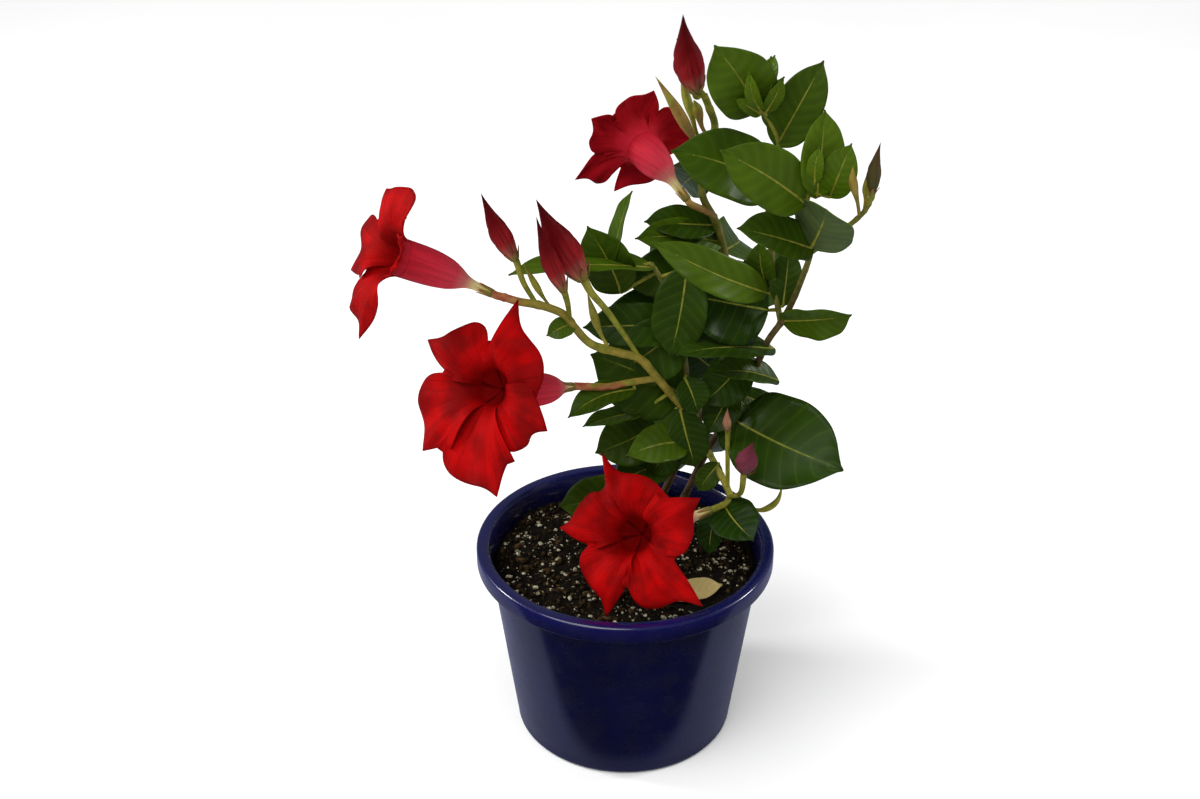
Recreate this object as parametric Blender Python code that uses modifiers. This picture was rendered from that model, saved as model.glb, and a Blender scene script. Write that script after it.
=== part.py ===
"""A mandevilla in its round nursery pot.

Three leafy vines stand in holes in the potting soil and carry open trumpet blooms, furled buds and
leaves.  Metres, +Z up; the origin is the centre of the pot's flat base and the front is -Y.

Stems, leaves, buds and blooms are laid out as an eye in front of the plant and above it sees them.
Each place has three numbers in millimetres: how far it lies across and up on a plane that faces the
eye, and how far back it lies from the pot's own axis.
"""

import math

import bmesh
import bpy
from mathutils import Vector, noise

MM = 0.001
GAP = 0.3

# Pot, in millimetres
POT_HEIGHT = 98.0
RIM_RADIUS = 70.0
RIM_BAND = 8.4
RIM_OPENING = 65.2
WALL_TOP_RADIUS = 63.7
BASE_RADIUS = 52.0
WALL = 2.0
FLOOR = 2.2
POT_STEPS = 36
DRAIN_HOLES = 8
DRAIN_HOLE_RADIUS = 4.5
DRAIN_CIRCLE_RADIUS = 38.0

# Soil, in millimetres
SOIL_TOP = 88.0
SOIL_ROUGHNESS = 1.7
SOIL_STEPS = POT_STEPS
SOIL_RINGS = 8
HOLE_DEPTH = 22.0
DEAD_LEAF_SPOT = (32.0, -28.0)
DEAD_LEAF_CLEARING = 17.0

# The eye that the layout is seen from, in millimetres and degrees
EYE = Vector((-11.8, -656.5, 536.0))
EYE_PITCH = math.radians(28.9)
PLANE_DISTANCE = 783.5
FORWARD = Vector((0.0, math.cos(EYE_PITCH), -math.sin(EYE_PITCH)))
UPWARD = Vector((0.0, math.sin(EYE_PITCH), math.cos(EYE_PITCH)))
RIGHT = Vector((1.0, 0.0, 0.0))

# Plant, in millimetres
BLADE = 0.7
PETIOLE_RADIUS = 0.75
STALK_RADIUS = 1.1
TUBE_RADIUS = 1.9
THROAT_RADIUS = 8.6
CALYX_RADIUS = 1.5

# Half widths of a leaf, as a share of the widest, from base to tip
LEAF_OUTLINE = ((0.0, 0.12), (0.12, 0.62), (0.34, 0.96), (0.60, 0.97), (0.84, 0.62), (1.0, 0.04))

# Reach of one bloom lobe, as a share of notch to tip, across its own fifth of the circle
LOBE_OUTLINE = ((0.0, 0.0), (0.14, 0.45), (0.36, 0.66), (0.58, 0.76), (0.76, 1.0))
LOBE_TIP = 0.76

# Radius and distance from the base of the bloom's funnel, outside and inside, as shares of its length
FUNNEL_OUTSIDE = ((0.0, TUBE_RADIUS), (0.32, TUBE_RADIUS + 0.3), (0.50, 5.0), (0.74, 7.7), (1.0, 9.4))
FUNNEL_INSIDE = ((1.0, 8.4), (0.74, 6.8), (0.50, 3.4))
FUNNEL_BOTTOM = 0.42

# Radius of a furled bud, as a share of its widest, from base to tip
BUD_OUTLINE = ((0.0, 0.30), (0.10, 0.42), (0.28, 0.70), (0.46, 1.0), (0.62, 0.92), (0.80, 0.52), (0.94, 0.20))
BUD_SIDES = 8

# Looks: colour, roughness
LOOKS = {
    "pot_blue": ((0.035, 0.105, 0.27), 0.35),
    "soil_dark": ((0.030, 0.022, 0.016), 0.9),
    "leaf_green": ((0.055, 0.16, 0.035), 0.35),
    "bloom_red": ((0.50, 0.006, 0.012), 0.5),
    "bud_red": ((0.36, 0.012, 0.02), 0.4),
    "bud_pale": ((0.42, 0.22, 0.20), 0.5),
    "dead_leaf": ((0.42, 0.30, 0.06), 0.7),
}

# Stems: name: radius at foot, radius at end, points (across, up, back).  Names that are in ROOTS start
# in the soil at that place; the others start inside the stem before them.
ROOTS = {
    "right_vine": (22.0, 14.0),
    "top_vine": (14.0, 34.0),
    "left_vine": (-4.0, 12.0),
}

RIGHT_STEMS = {
    "right_vine": (1.9, 1.5, ((33, -58, 15), (40, -45, 17), (50, -25, 18), (62, -5, 16), (71, 10, 13), (78, 26, 10),
                              (85, 36, 8))),
    "right_fork": (1.5, 1.1, ((85, 36, 8), (90, 45, 6), (95, 57, 2), (99, 69, 0), (100, 81, -3), (97, 92, -5),
                              (101, 104, -6))),
    "left_fork": (1.4, 0.9, ((85, 36, 8), (83, 48, 12), (80, 75, 18), (79, 87, 20), (81, 99, 20), (84, 119, 16),
                             (80, 130, 14), (74, 138, 12))),
    "right_raceme": (1.1, 0.9, ((99, 69, 0), (112, 78, -5), (122, 86, -8), (126, 91, -9), (128, 96, -10))),
    "low_shoot": (1.2, 1.1, ((50, -23, 18), (55, -32, 8), (60, -42, 0), (61, -46, -4),
                             (59, -49, -8))),
}

TOP_STEMS = {
    "top_vine": (1.8, 1.0, ((28, -48, 34), (40, -22, 38), (54, 6, 40), (61, 33, 40), (60, 60, 40), (55, 82, 38),
                            (48, 97, 36), (50, 117, 32), (54, 128, 28), (51, 138, 24), (49, 143, 22))),
    "upper_stalk": (1.0, 1.0, ((54, 86, 38), (49, 89, 33))),
}

LEFT_STEMS = {
    "left_vine": (1.8, 1.1, ((10, -60, 12), (22, -42, 12), (34, -20, 10), (40, 0, 8), (40, 18, 8), (36, 36, 10),
                             (30, 54, 12), (24, 64, 14))),
    "left_raceme": (1.3, 1.1, ((39, -4, 8), (27, 10, 0), (19, 19, -4), (9, 22, -8), (-4, 26, -12), (-12, 34, -14),
                               (-17, 40, -16), (-27, 44, -18), (-38, 46, -20), (-45, 48, -20))),
    "front_stalk": (1.1, 1.1, ((27, 10, 0), (14, 8, -4), (4, 6, -8), (-3, 6, -11))),
}

# Leaves: base (across, up, back), tip (across, up, back), width, roll in degrees, arch
RIGHT_LEAVES = {
    "crown_left": ((77, 131, 13), (53, 166, 4), 23, 5, 2.0),
    "crown_small": ((76, 142, 14), (82, 162, 20), 8, 20, 1.0),
    "crown_right": ((86, 117, 16), (106, 159, 12), 19, 0, 2.5),
    "crown_edge": ((80, 127, 20), (86, 152, 27), 14, 60, 2.0),
    "shoot_upright": ((102, 95, -6), (106, 136, -2), 18, -15, 2.0),
    "shoot_right": ((108, 95, -6), (118, 120, -12), 15, 10, 2.0),
    "shoot_young": ((101, 102, -6), (103, 118, -12), 7, 0, 1.0),
    "high_bright": ((97, 92, -6), (57, 117, -16), 25, -8, 3.0),
    "high_dark": ((81, 99, 19), (34, 117, 4), 29, -12, 3.0),
    "olive": ((100, 71, -1), (65, 81, -16), 20, -40, 3.0),
    "turned_over": ((99, 71, -1), (115, 87, -18), 25, 25, 3.0),
    "middle_bright": ((79, 50, 14), (25, 70, -8), 28, -10, 4.0),
    "middle_dark": ((77, 44, 16), (40, 30, 4), 30, -10, 3.0),
    "pale_back": ((79, 52, 18), (75, 74, 12), 13, 20, 1.5),
    "inner_dark": ((86, 44, 10), (89, 71, 18), 14, 10, 1.5),
    "right_edge_on": ((85, 37, 8), (118, 39, -14), 20, -48, 1.5),
    "belt_olive": ((82, 24, 10), (36, 22, -14), 22, -56, 3.0),
    "belt_small": ((84, 9, 12), (53, 13, -4), 16, -45, 2.0),
    "right_large": ((64, -10, 16), (115, -32, -22), 39, 10, 4.0),
    "right_behind": ((67, 2, 18), (79, -4, 24), 11, 10, 1.5),
    "hanging": ((62, 6, 20), (51, -16, 6), 18, 10, 1.5),
    "inner_hanging": ((68, 20, 18), (48, -2, 4), 22, 10, 2.0),
    "low_small": ((56, -30, 8), (46, -43, 2), 11, 10, 1.0),
    "over_soil": ((58, -49, -6), (72, -66, -30), 22, 10, 2.0),
    "over_soil_left": ((55, -50, -4), (51, -73, -16), 13, -20, 1.5),
}

TOP_LEAVES = {
    "behind_bloom": ((55, 82, 40), (21, 84, 30), 17, -30, 1.5),
    "light_small": ((58, 74, 40), (17, 76, 22), 17, -20, 2.0),
    "inner_shade": ((60, 56, 40), (10, 56, 20), 26, -10, 3.0),
    "centre_shade": ((60, 42, 40), (-2, 36, 16), 30, 0, 3.0),
    "back_high_left": ((50, 110, 34), (38, 100, 70), 20, 10, 3.0),
    "back_high_right": ((51, 114, 33), (86, 102, 60), 24, 0, 3.0),
    "back_left": ((60, 66, 40), (22, 66, 74), 28, 20, 4.0),
    "back_right": ((60, 52, 40), (90, 60, 66), 28, -20, 4.0),
    "back_middle": ((58, 70, 40), (64, 76, 92), 28, 0, 4.0),
    "back_low_left": ((50, 0, 40), (6, -4, 68), 30, 20, 4.0),
    "back_low_right": ((56, 4, 40), (92, -16, 64), 26, -20, 4.0),
    "back_low": ((44, -16, 38), (48, -26, 84), 30, 0, 4.0),
}

LEFT_LEAVES = {
    "left_round": ((10, 50, 16), (-6, 81, 12), 22, 15, 2.0),
    "left_thin": ((5, 60, 18), (14, 98, 12), 11, 60, 1.5),
    "left_long": ((26, 62, 14), (-43, 60, -2), 20, -62, 3.0),
    "left_shade": ((38, 34, 10), (-8, 34, 4), 20, -10, 3.0),
    "centre_large": ((38, 4, 8), (-4, 20, -22), 36, 0, 4.0),
    "centre_striped": ((38, 34, 10), (8, 12, -10), 30, 20, 3.0),
    "low_tip": ((16, 5, -4), (-15, -8, -22), 14, -35, 2.5),
    "low_thin": ((20, -5, 2), (-8, -12, -16), 12, -50, 1.5),
    "low_round": ((26, -12, 8), (-2, -25, -8), 24, 0, 2.0),
    "front_bright": ((40, -20, 4), (13, -26, -22), 18, -12, 2.5),
    "low_dark": ((32, -30, 12), (6, -40, -6), 20, -20, 2.0),
    "low_grey": ((16, -44, 12), (-19, -50, -4), 23, -10, 2.0),
    "raceme_tip": ((-12, 36, -14), (-25, 30, -20), 9, 0, 1.0),
}

# Buds: base and tip (across, up, back), width, look
BUDS = {
    "bud_top": ((45, 146, 22), (39, 181, 12), 12, "bud_red"),
    "bud_top_slim": ((41, 155, 32), (36, 170, 36), 5, "bud_red"),
    "bud_left": ((-8, 57, -12), (-30, 94, -18), 12, "bud_red"),
    "bud_left_behind": ((-19, 52, -22), (-31, 87, -30), 8, "bud_red"),
    "bud_far_left": ((-40, 66, -18), (-56, 97, -22), 10, "bud_red"),
    "bud_right": ((128, 97, -10), (132, 121, -14), 6, "bud_red"),
    "bud_pale": ((60, -15, 2), (60, -4, 0), 4, "bud_pale"),
    "bud_spent": ((68, -34, -22), (72, -20, -28), 10, "bud_red"),
}

# Stalks that carry the buds, in the node of the vine that they grow from
BUD_STALKS = {
    "bud_top": ("mandevilla_vine_top", ((49, 143, 22), (47, 143, 22))),
    "bud_top_slim": ("mandevilla_vine_top", ((50, 142, 23), (45, 148, 29))),
    "bud_left": ("mandevilla_vine_left", ((-6, 28, -12), (-2, 38, -10), (-4, 48, -11))),
    "bud_left_behind": ("mandevilla_vine_left", ((-14, 36, -15), (-15, 44, -19))),
    "bud_far_left": ("mandevilla_vine_left", ((-30, 45, -18), (-36, 55, -18))),
    "bud_right": ("mandevilla_vine_right", ((126, 91, -9), (127, 94, -10))),
    "bud_pale": ("mandevilla_vine_right", ((60, -42, 0), (60, -28, 2))),
    "bud_spent": ("mandevilla_vine_right", ((60, -46, -4), (66, -44, -16))),
}

# Green bud tips that are fused to their stalks: points, radius
GREEN_BUDS = {
    "right_second": ("mandevilla_vine_right", ((122, 86, -8), (121, 96, -12), (119, 104, -14), (119, 108, -14)), 1.6),
    "right_third": ("mandevilla_vine_right", ((124, 88, -8), (125, 96, -6), (125, 103, -5)), 1.3),
    "top_dark": ("mandevilla_vine_top", ((50, 139, 23), (43, 136, 26), (40, 144, 30), (38, 150, 32)), 1.6),
    "top_olive": ("mandevilla_vine_top", ((52, 134, 26), (43, 126, 20), (35, 138, 14), (26, 152, 10)), 1.5),
    "left_slender": ("mandevilla_vine_left", ((-29, 45, -18), (-33, 52, -14), (-36, 64, -12)), 1.2),
    "low_hook": ("mandevilla_vine_right", ((61, -46, -4), (69, -50, -8), (76, -52, -10), (83, -48, -12),
                                           (86, -40, -12)), 1.4),
}

# Blooms: base and throat (across, up, back), facing (right, up, towards the eye), and the tips of the
# five lobes as (degrees from up, turning left as the bloom faces you, reach from the centre)
BLOOMS = {
    "bloom_left": ((-51, 50, -20), (-98, 68, -28), (-0.80, 0.20, 0.55),
                   ((26, 33), (96, 37), (158, 38), (236, 22), (308, 33))),
    "bloom_lower_left": ((-13, 6, -14), (-53, 6, -44), (-0.52, 0.10, 0.85),
                         ((60, 38), (127, 42), (197, 45), (241, 38), (340, 37))),
    "bloom_bottom": ((52, -52, -13), (15, -64, -40), (-0.40, 0.02, 0.90),
                     ((22, 40), (86, 37), (163, 37), (230, 45), (294, 38))),
    "bloom_upper": ((41, 94, 29), (18, 120, 50), (-0.36, 0.42, -0.80),
                    ((18, 26), (87, 27), (152, 25), (232, 34), (300, 28))),
}
BEARERS = {
    "left_raceme": "bloom_left",
    "front_stalk": "bloom_lower_left",
    "low_shoot": "bloom_bottom",
    "upper_stalk": "bloom_upper",
}
NOTCH_SHARE = 0.56
LAST_STRAIGHT = 2.5
FLAT_ANGLE = math.radians(0.4)


def clear_scene():
    for thing in list(bpy.data.objects):
        bpy.data.objects.remove(thing, do_unlink=True)


def collection(name):
    made = bpy.data.collections.new(name)
    bpy.context.scene.collection.children.link(made)
    return made


def material(name):
    """The Principled material of one look, made once."""
    if name in bpy.data.materials:
        return bpy.data.materials[name]
    colour, roughness = LOOKS[name]
    made = bpy.data.materials.new(name)
    made.use_nodes = True
    shader = made.node_tree.nodes["Principled BSDF"]
    shader.inputs["Base Color"].default_value = (*colour, 1.0)
    shader.inputs["Roughness"].default_value = roughness
    shader.inputs["Metallic"].default_value = 0.0
    made.diffuse_color = (*colour, 1.0)
    return made


def seen(across, up, back):
    """The point in millimetres that the eye sees at a spot of its plane, this far behind the pot's axis."""
    sight = FORWARD * PLANE_DISTANCE + RIGHT * across + UPWARD * up
    return EYE + sight * ((back - EYE.y) / sight.y)


def viewed(right, up, toward):
    """A unit direction given as the eye sees it."""
    return (RIGHT * right + UPWARD * up - FORWARD * toward).normalized()


def smooth_path(points, steps=2):
    """A round route through the points, as a list of closer points."""
    ends = [points[0] * 2 - points[1], *points, points[-1] * 2 - points[-2]]
    route = []
    for number in range(len(points) - 1):
        before, start, finish, after = ends[number:number + 4]
        for step in range(steps):
            t = step / steps
            route.append(0.5 * (start * 2 + (finish - before) * t
                                + (before * 2 - start * 5 + finish * 4 - after) * t * t
                                + (start * 3 - before - finish * 3 + after) * t ** 3))
    route.append(points[-1].copy())
    return route


def add_object(name, mesh, look, home):
    made = bpy.data.objects.new(name, mesh)
    home.objects.link(made)
    mesh.materials.clear()
    mesh.materials.append(material(look))
    return made


def settled(made):
    """The object again, as a plain mesh with its modifiers or its curve worked out and its caps welded."""
    bpy.context.view_layer.update()
    graph = bpy.context.evaluated_depsgraph_get()
    mesh = bpy.data.meshes.new_from_object(made.evaluated_get(graph))
    shell = bmesh.new()
    shell.from_mesh(mesh)
    bmesh.ops.remove_doubles(shell, verts=shell.verts[:], dist=0.00001)
    bmesh.ops.recalc_face_normals(shell, faces=shell.faces[:])
    shell.to_mesh(mesh)
    shell.free()
    plain = bpy.data.objects.new(made.name + "_plain", mesh)
    plain.matrix_world = made.matrix_world
    for home in list(made.users_collection):
        home.objects.link(plain)
    name = made.name
    bpy.data.objects.remove(made, do_unlink=True)
    plain.name = name
    return plain


def tube(name, points, radii, sides_resolution, home):
    """A tapering tube along a route in millimetres, as a mesh."""
    curve = bpy.data.curves.new(name, "CURVE")
    curve.dimensions = "3D"
    curve.bevel_depth = MM
    curve.bevel_resolution = sides_resolution
    curve.use_fill_caps = True
    spline = curve.splines.new("POLY")
    spline.points.add(len(points) - 1)
    for number, point in enumerate(points):
        share = number / (len(points) - 1)
        spline.points[number].co = (*(point * MM), 1.0)
        spline.points[number].radius = radii[0] + (radii[1] - radii[0]) * share
    made = bpy.data.objects.new(name, curve)
    home.objects.link(made)
    return settled(made)


def turned(name, profile, steps, look, home):
    """A solid turned about Z from a profile in millimetres that runs down its outer side."""
    mesh = bpy.data.meshes.new(name)
    shell = bmesh.new()
    corners = [shell.verts.new((radius * MM, 0.0, height * MM)) for radius, height in profile]
    for start, finish in zip(corners, corners[1:] + corners[:1]):
        if start.co.x > 0.0 or finish.co.x > 0.0:
            shell.edges.new((start, finish))
    shell.to_mesh(mesh)
    shell.free()
    made = add_object(name, mesh, look, home)
    screw = made.modifiers.new("turned", "SCREW")
    screw.axis = "Z"
    screw.angle = math.tau
    screw.steps = steps
    screw.render_steps = steps
    screw.use_merge_vertices = True
    screw.merge_threshold = 0.00001
    return made


def wall_radius(height):
    """The pot's outer radius at a height on its tapering wall."""
    return BASE_RADIUS + (WALL_TOP_RADIUS - BASE_RADIUS) * height / (POT_HEIGHT - RIM_BAND)


def build_pot(home, cutters):
    under_rim = POT_HEIGHT - RIM_BAND
    lip = 2.4
    heel = 2.6
    profile = (
        (RIM_OPENING, POT_HEIGHT), (RIM_RADIUS - 1.3, POT_HEIGHT), (RIM_RADIUS, POT_HEIGHT - 1.5),
        (RIM_RADIUS, under_rim + 0.6), (RIM_RADIUS - 0.8, under_rim), (RIM_RADIUS - lip, under_rim),
        (RIM_RADIUS - lip, POT_HEIGHT - 3.2), (WALL_TOP_RADIUS + 0.6, POT_HEIGHT - 3.6),
        (WALL_TOP_RADIUS, under_rim), (wall_radius(heel + 0.8), heel + 0.8), (wall_radius(0.0) - 0.8, 0.8),
        (BASE_RADIUS - heel, 0.0), (0.0, 0.0), (0.0, FLOOR), (BASE_RADIUS - heel - 0.8, FLOOR),
        (wall_radius(FLOOR + heel) - WALL, FLOOR + heel), (WALL_TOP_RADIUS - WALL, under_rim),
        (RIM_OPENING - 1.6, POT_HEIGHT - 1.6),
    )
    pot = turned("mandevilla_pot", profile, POT_STEPS, "pot_blue", home)
    holes = bmesh.new()
    for number in range(DRAIN_HOLES):
        angle = math.tau * (number + 0.5) / DRAIN_HOLES
        made = bmesh.ops.create_cone(holes, cap_ends=True, segments=8, radius1=DRAIN_HOLE_RADIUS * MM,
                                     radius2=DRAIN_HOLE_RADIUS * MM, depth=3 * FLOOR * MM)
        spot = Vector((DRAIN_CIRCLE_RADIUS * math.cos(angle), DRAIN_CIRCLE_RADIUS * math.sin(angle), FLOOR / 2))
        bmesh.ops.translate(holes, verts=made["verts"], vec=spot * MM)
    cut(pot, "drain_holes", holes, cutters)
    for polygon in pot.data.polygons:
        polygon.use_smooth = True
    return pot


def cut(made, name, shape, cutters):
    """Take a bmesh shape away from an object, with a hidden cutter."""
    mesh = bpy.data.meshes.new(name)
    shape.to_mesh(mesh)
    shape.free()
    cutter = bpy.data.objects.new(name, mesh)
    cutters.objects.link(cutter)
    cutter.hide_render = True
    cutter.display_type = "WIRE"
    boolean = made.modifiers.new(name, "BOOLEAN")
    boolean.operation = "DIFFERENCE"
    boolean.object = cutter


def soil_height(x, y):
    """Height of the lumpy soil in millimetres, calm where the fallen leaf lies."""
    lumps = noise.noise(Vector((x, y, 0.0)) / 7.0) + 0.6 * noise.noise(Vector((x, y, 9.0)) / 16.0)
    distance = math.hypot(x - DEAD_LEAF_SPOT[0], y - DEAD_LEAF_SPOT[1])
    calm = min(1.0, max(0.0, distance / DEAD_LEAF_CLEARING - 1.0))
    return SOIL_TOP + SOIL_ROUGHNESS * lumps * calm


def build_soil(home, cutters):
    """The soil fills the pot to its wall, with a lumpy top and one plain hole for each vine."""
    bottom = FLOOR + GAP
    inset = WALL + GAP
    outer = wall_radius(SOIL_TOP) - inset
    rings = [(outer * ring / SOIL_RINGS, SOIL_TOP) for ring in range(SOIL_RINGS + 1)]
    side = [(wall_radius(14.0) - inset, 14.0), (BASE_RADIUS - 6.0, bottom), (0.0, bottom)]
    shell = bmesh.new()
    corners = [shell.verts.new((radius * MM, 0.0, height * MM)) for radius, height in rings + side]
    edges = [shell.edges.new(pair) for pair in zip(corners, corners[1:])]
    bmesh.ops.spin(shell, geom=corners + edges, axis=(0, 0, 1), cent=(0, 0, 0), angle=math.tau,
                   steps=SOIL_STEPS, use_merge=True)
    bmesh.ops.remove_doubles(shell, verts=shell.verts[:], dist=0.00001)
    for corner in shell.verts:
        if corner.co.z > (SOIL_TOP - 1.0) * MM:
            corner.co.z = soil_height(corner.co.x / MM, corner.co.y / MM) * MM
    bmesh.ops.recalc_face_normals(shell, faces=shell.faces[:])
    mesh = bpy.data.meshes.new("mandevilla_soil")
    shell.to_mesh(mesh)
    shell.free()
    soil = add_object("mandevilla_soil", mesh, "soil_dark", home)
    holes = bmesh.new()
    for stem, (x, y) in ROOTS.items():
        radius = foot_radius(stem) + GAP
        made = bmesh.ops.create_cone(holes, cap_ends=True, segments=12, radius1=radius * MM, radius2=radius * MM,
                                     depth=2 * HOLE_DEPTH * MM)
        bmesh.ops.translate(holes, verts=made["verts"], vec=Vector((x, y, SOIL_TOP)) * MM)
    cut(soil, "stem_holes", holes, cutters)
    return soil


def foot_radius(stem):
    """Radius of a rooted stem where it stands in the soil."""
    every_stem = {**RIGHT_STEMS, **TOP_STEMS, **LEFT_STEMS}
    return every_stem[stem][0]


def stem_route(name, points):
    """A stem's smooth route; a rooted one rises straight out of its hole first."""
    places = [seen(*point) for point in points]
    if name in BEARERS:
        base, throat, facing, _ = BLOOMS[BEARERS[name]]
        start, heading = bloom_route(seen(*base), seen(*throat), viewed(*facing))(0.0)
        return smooth_path(places + [start - heading * LAST_STRAIGHT]) + [start - heading * GAP]
    if name in ROOTS:
        x, y = ROOTS[name]
        foot = [Vector((x, y, SOIL_TOP + height)) for height in (GAP - HOLE_DEPTH, -HOLE_DEPTH / 2, 1.5, 6.0)]
        rise = smooth_path([foot[-1], *places])
        return foot[:-1] + rise
    return smooth_path(places)


def nearest(routes, place):
    """The point of the stems that is nearest to a place."""
    best = None
    for route in routes:
        for start, finish in zip(route, route[1:]):
            line = finish - start
            share = min(1.0, max(0.0, (place - start).dot(line) / line.length_squared))
            spot = start + line * share
            if best is None or (spot - place).length < (best - place).length:
                best = spot
    return best


def leaf_frame(base, tip, roll):
    """Directions along a leaf, across it, and out of its upper face; roll 0 faces the eye."""
    along = (tip - base).normalized()
    across = along.cross(EYE - (base + tip) / 2).normalized()
    face = across.cross(along)
    turn = math.radians(roll)
    return along, across * math.cos(turn) + face * math.sin(turn), face * math.cos(turn) - across * math.sin(turn)


def leaf_blade(name, base, tip, width, roll, arch, home):
    """A thin ovate blade, arched along its midrib, with its halves raised a little."""
    along, across, face = leaf_frame(base, tip, roll)
    length = (tip - base).length
    shell = bmesh.new()
    bmesh.ops.create_grid(shell, x_segments=2, y_segments=len(LEAF_OUTLINE) - 1, size=1.0)
    for corner in shell.verts:
        share, fullness = LEAF_OUTLINE[round((corner.co.y + 1.0) / 2.0 * (len(LEAF_OUTLINE) - 1))]
        half = width / 2 * fullness
        lift = arch * math.sin(math.pi * share) + 0.22 * half * abs(corner.co.x)
        place = base + along * (length * share) + across * (half * corner.co.x) + face * lift
        corner.co = place * MM
    bmesh.ops.triangulate(shell, faces=shell.faces[:])
    mesh = bpy.data.meshes.new(name)
    shell.to_mesh(mesh)
    shell.free()
    made = bpy.data.objects.new(name, mesh)
    home.objects.link(made)
    solid = made.modifiers.new("thickness", "SOLIDIFY")
    solid.thickness = BLADE * MM
    solid.offset = 0.0
    return settled(made)


def add_leaf(name, leaf, routes, home):
    """A blade with its stalk, which starts inside the stem and runs on under the midrib."""
    base_spot, tip_spot, width, roll, arch = leaf
    base, tip = seen(*base_spot), seen(*tip_spot)
    leaf_blade(name, base, tip, width, roll, arch, home)
    along, _, face = leaf_frame(base, tip, roll)
    length = (tip - base).length
    under = [base + along * (length * share) + face * (arch * math.sin(math.pi * share) - 0.2)
             for share in (0.05, 0.17)]
    start = nearest(routes, base)
    stalk = [start, *under] if (start - base).length < 1.0 else [start, base.lerp(start, 0.4), *under]
    tube(name + "_stalk", stalk, (PETIOLE_RADIUS, 0.5), 0, home)


def simplify(mesh):
    """Merge the flat scraps that a union leaves, and split the faces into triangles again."""
    shell = bmesh.new()
    shell.from_mesh(mesh)
    bmesh.ops.dissolve_limit(shell, angle_limit=FLAT_ANGLE, verts=shell.verts[:], edges=shell.edges[:])
    bmesh.ops.triangulate(shell, faces=shell.faces[:])
    shell.to_mesh(mesh)
    shell.free()


def fuse(name, pieces, look, home):
    """Join a collection's overlapping solids to one body, by a Boolean union that is then worked out."""
    members = list(pieces.objects)
    mesh = members[0].data.copy()
    made = add_object(name, mesh, look, home)
    bpy.data.objects.remove(members[0], do_unlink=True)
    union = made.modifiers.new("union", "BOOLEAN")
    union.operation = "UNION"
    union.operand_type = "COLLECTION"
    union.collection = pieces
    made = settled(made)
    simplify(made.data)
    for piece in list(pieces.objects):
        bpy.data.objects.remove(piece, do_unlink=True)
    bpy.data.collections.remove(pieces)
    made.data.materials.clear()
    made.data.materials.append(material(look))
    return made


def build_vine(name, stems, leaves, home):
    """One leafy vine: its stems, stalks and leaves in one body."""
    pieces = collection(name + "_pieces")
    routes = []
    for stem, (foot, end, points) in stems.items():
        route = stem_route(stem, points)
        routes.append(route)
        tube(stem, route, (foot, end), 1, pieces)
    for bud, (vine, points) in BUD_STALKS.items():
        if vine == name:
            base, tip, _, _ = BUDS[bud]
            heading = (seen(*tip) - seen(*base)).normalized()
            straight = [seen(*base) - heading * LAST_STRAIGHT, seen(*base) - heading * GAP]
            route = smooth_path([seen(*point) for point in points] + straight[:1]) + straight[1:]
            tube(bud + "_stalk", route, (STALK_RADIUS, CALYX_RADIUS), 1, pieces)
    for bud, (vine, points, radius) in GREEN_BUDS.items():
        if vine == name:
            route = smooth_path([seen(*point) for point in points])
            tube(bud, route, (0.8, radius), 1, pieces)
    for leaf, values in leaves.items():
        add_leaf(leaf, values, routes, pieces)
    return fuse(name, pieces, "leaf_green", home)


def build_bud(name, base_spot, tip_spot, width, look, home):
    """A furled bud: a spindle turned about its own axis."""
    base, tip = seen(*base_spot), seen(*tip_spot)
    length = (tip - base).length
    shell = bmesh.new()
    profile = [(0.0, 0.0)] + [(radius * width / 2, share * length) for share, radius in BUD_OUTLINE] + [(0.0, length)]
    corners = [shell.verts.new((radius * MM, 0.0, height * MM)) for radius, height in profile]
    edges = [shell.edges.new(pair) for pair in zip(corners, corners[1:])]
    bmesh.ops.spin(shell, geom=corners + edges, axis=(0, 0, 1), cent=(0, 0, 0), angle=math.tau, steps=BUD_SIDES,
                   use_merge=True)
    bmesh.ops.remove_doubles(shell, verts=shell.verts[:], dist=0.00001)
    bmesh.ops.recalc_face_normals(shell, faces=shell.faces[:])
    mesh = bpy.data.meshes.new(name)
    shell.to_mesh(mesh)
    shell.free()
    made = add_object(name, mesh, look, home)
    made.location = base * MM
    made.rotation_euler = (tip - base).to_track_quat("Z", "Y").to_euler()
    return made


def bloom_route(base, throat, facing):
    """Centres and directions along the bent axis of a bloom's funnel, as a function of the share of its length."""
    length = (throat - base).length
    middle = throat - facing * (0.45 * length)

    def at(share):
        centre = base * (1 - share) ** 2 + middle * (2 * share * (1 - share)) + throat * share ** 2
        heading = ((middle - base) * (1 - share) + (throat - middle) * share).normalized()
        return centre, heading

    return at


def lobe_angle(lobes, lobe, part):
    """Degrees at a share of one lobe, whose notches lie a little past the tips on each side."""
    before = lobes[lobe - 1][0] - (360.0 if lobe == 0 else 0.0)
    tip = lobes[lobe][0]
    after = lobes[(lobe + 1) % 5][0] + (360.0 if lobe == 4 else 0.0)
    first_notch = before + (tip - before) * (1.0 - LOBE_TIP)
    last_notch = tip + (after - tip) * (1.0 - LOBE_TIP)
    if part <= LOBE_TIP:
        return first_notch + (tip - first_notch) * part / LOBE_TIP
    return tip + (last_notch - tip) * (part - LOBE_TIP) / (1.0 - LOBE_TIP)


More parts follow.
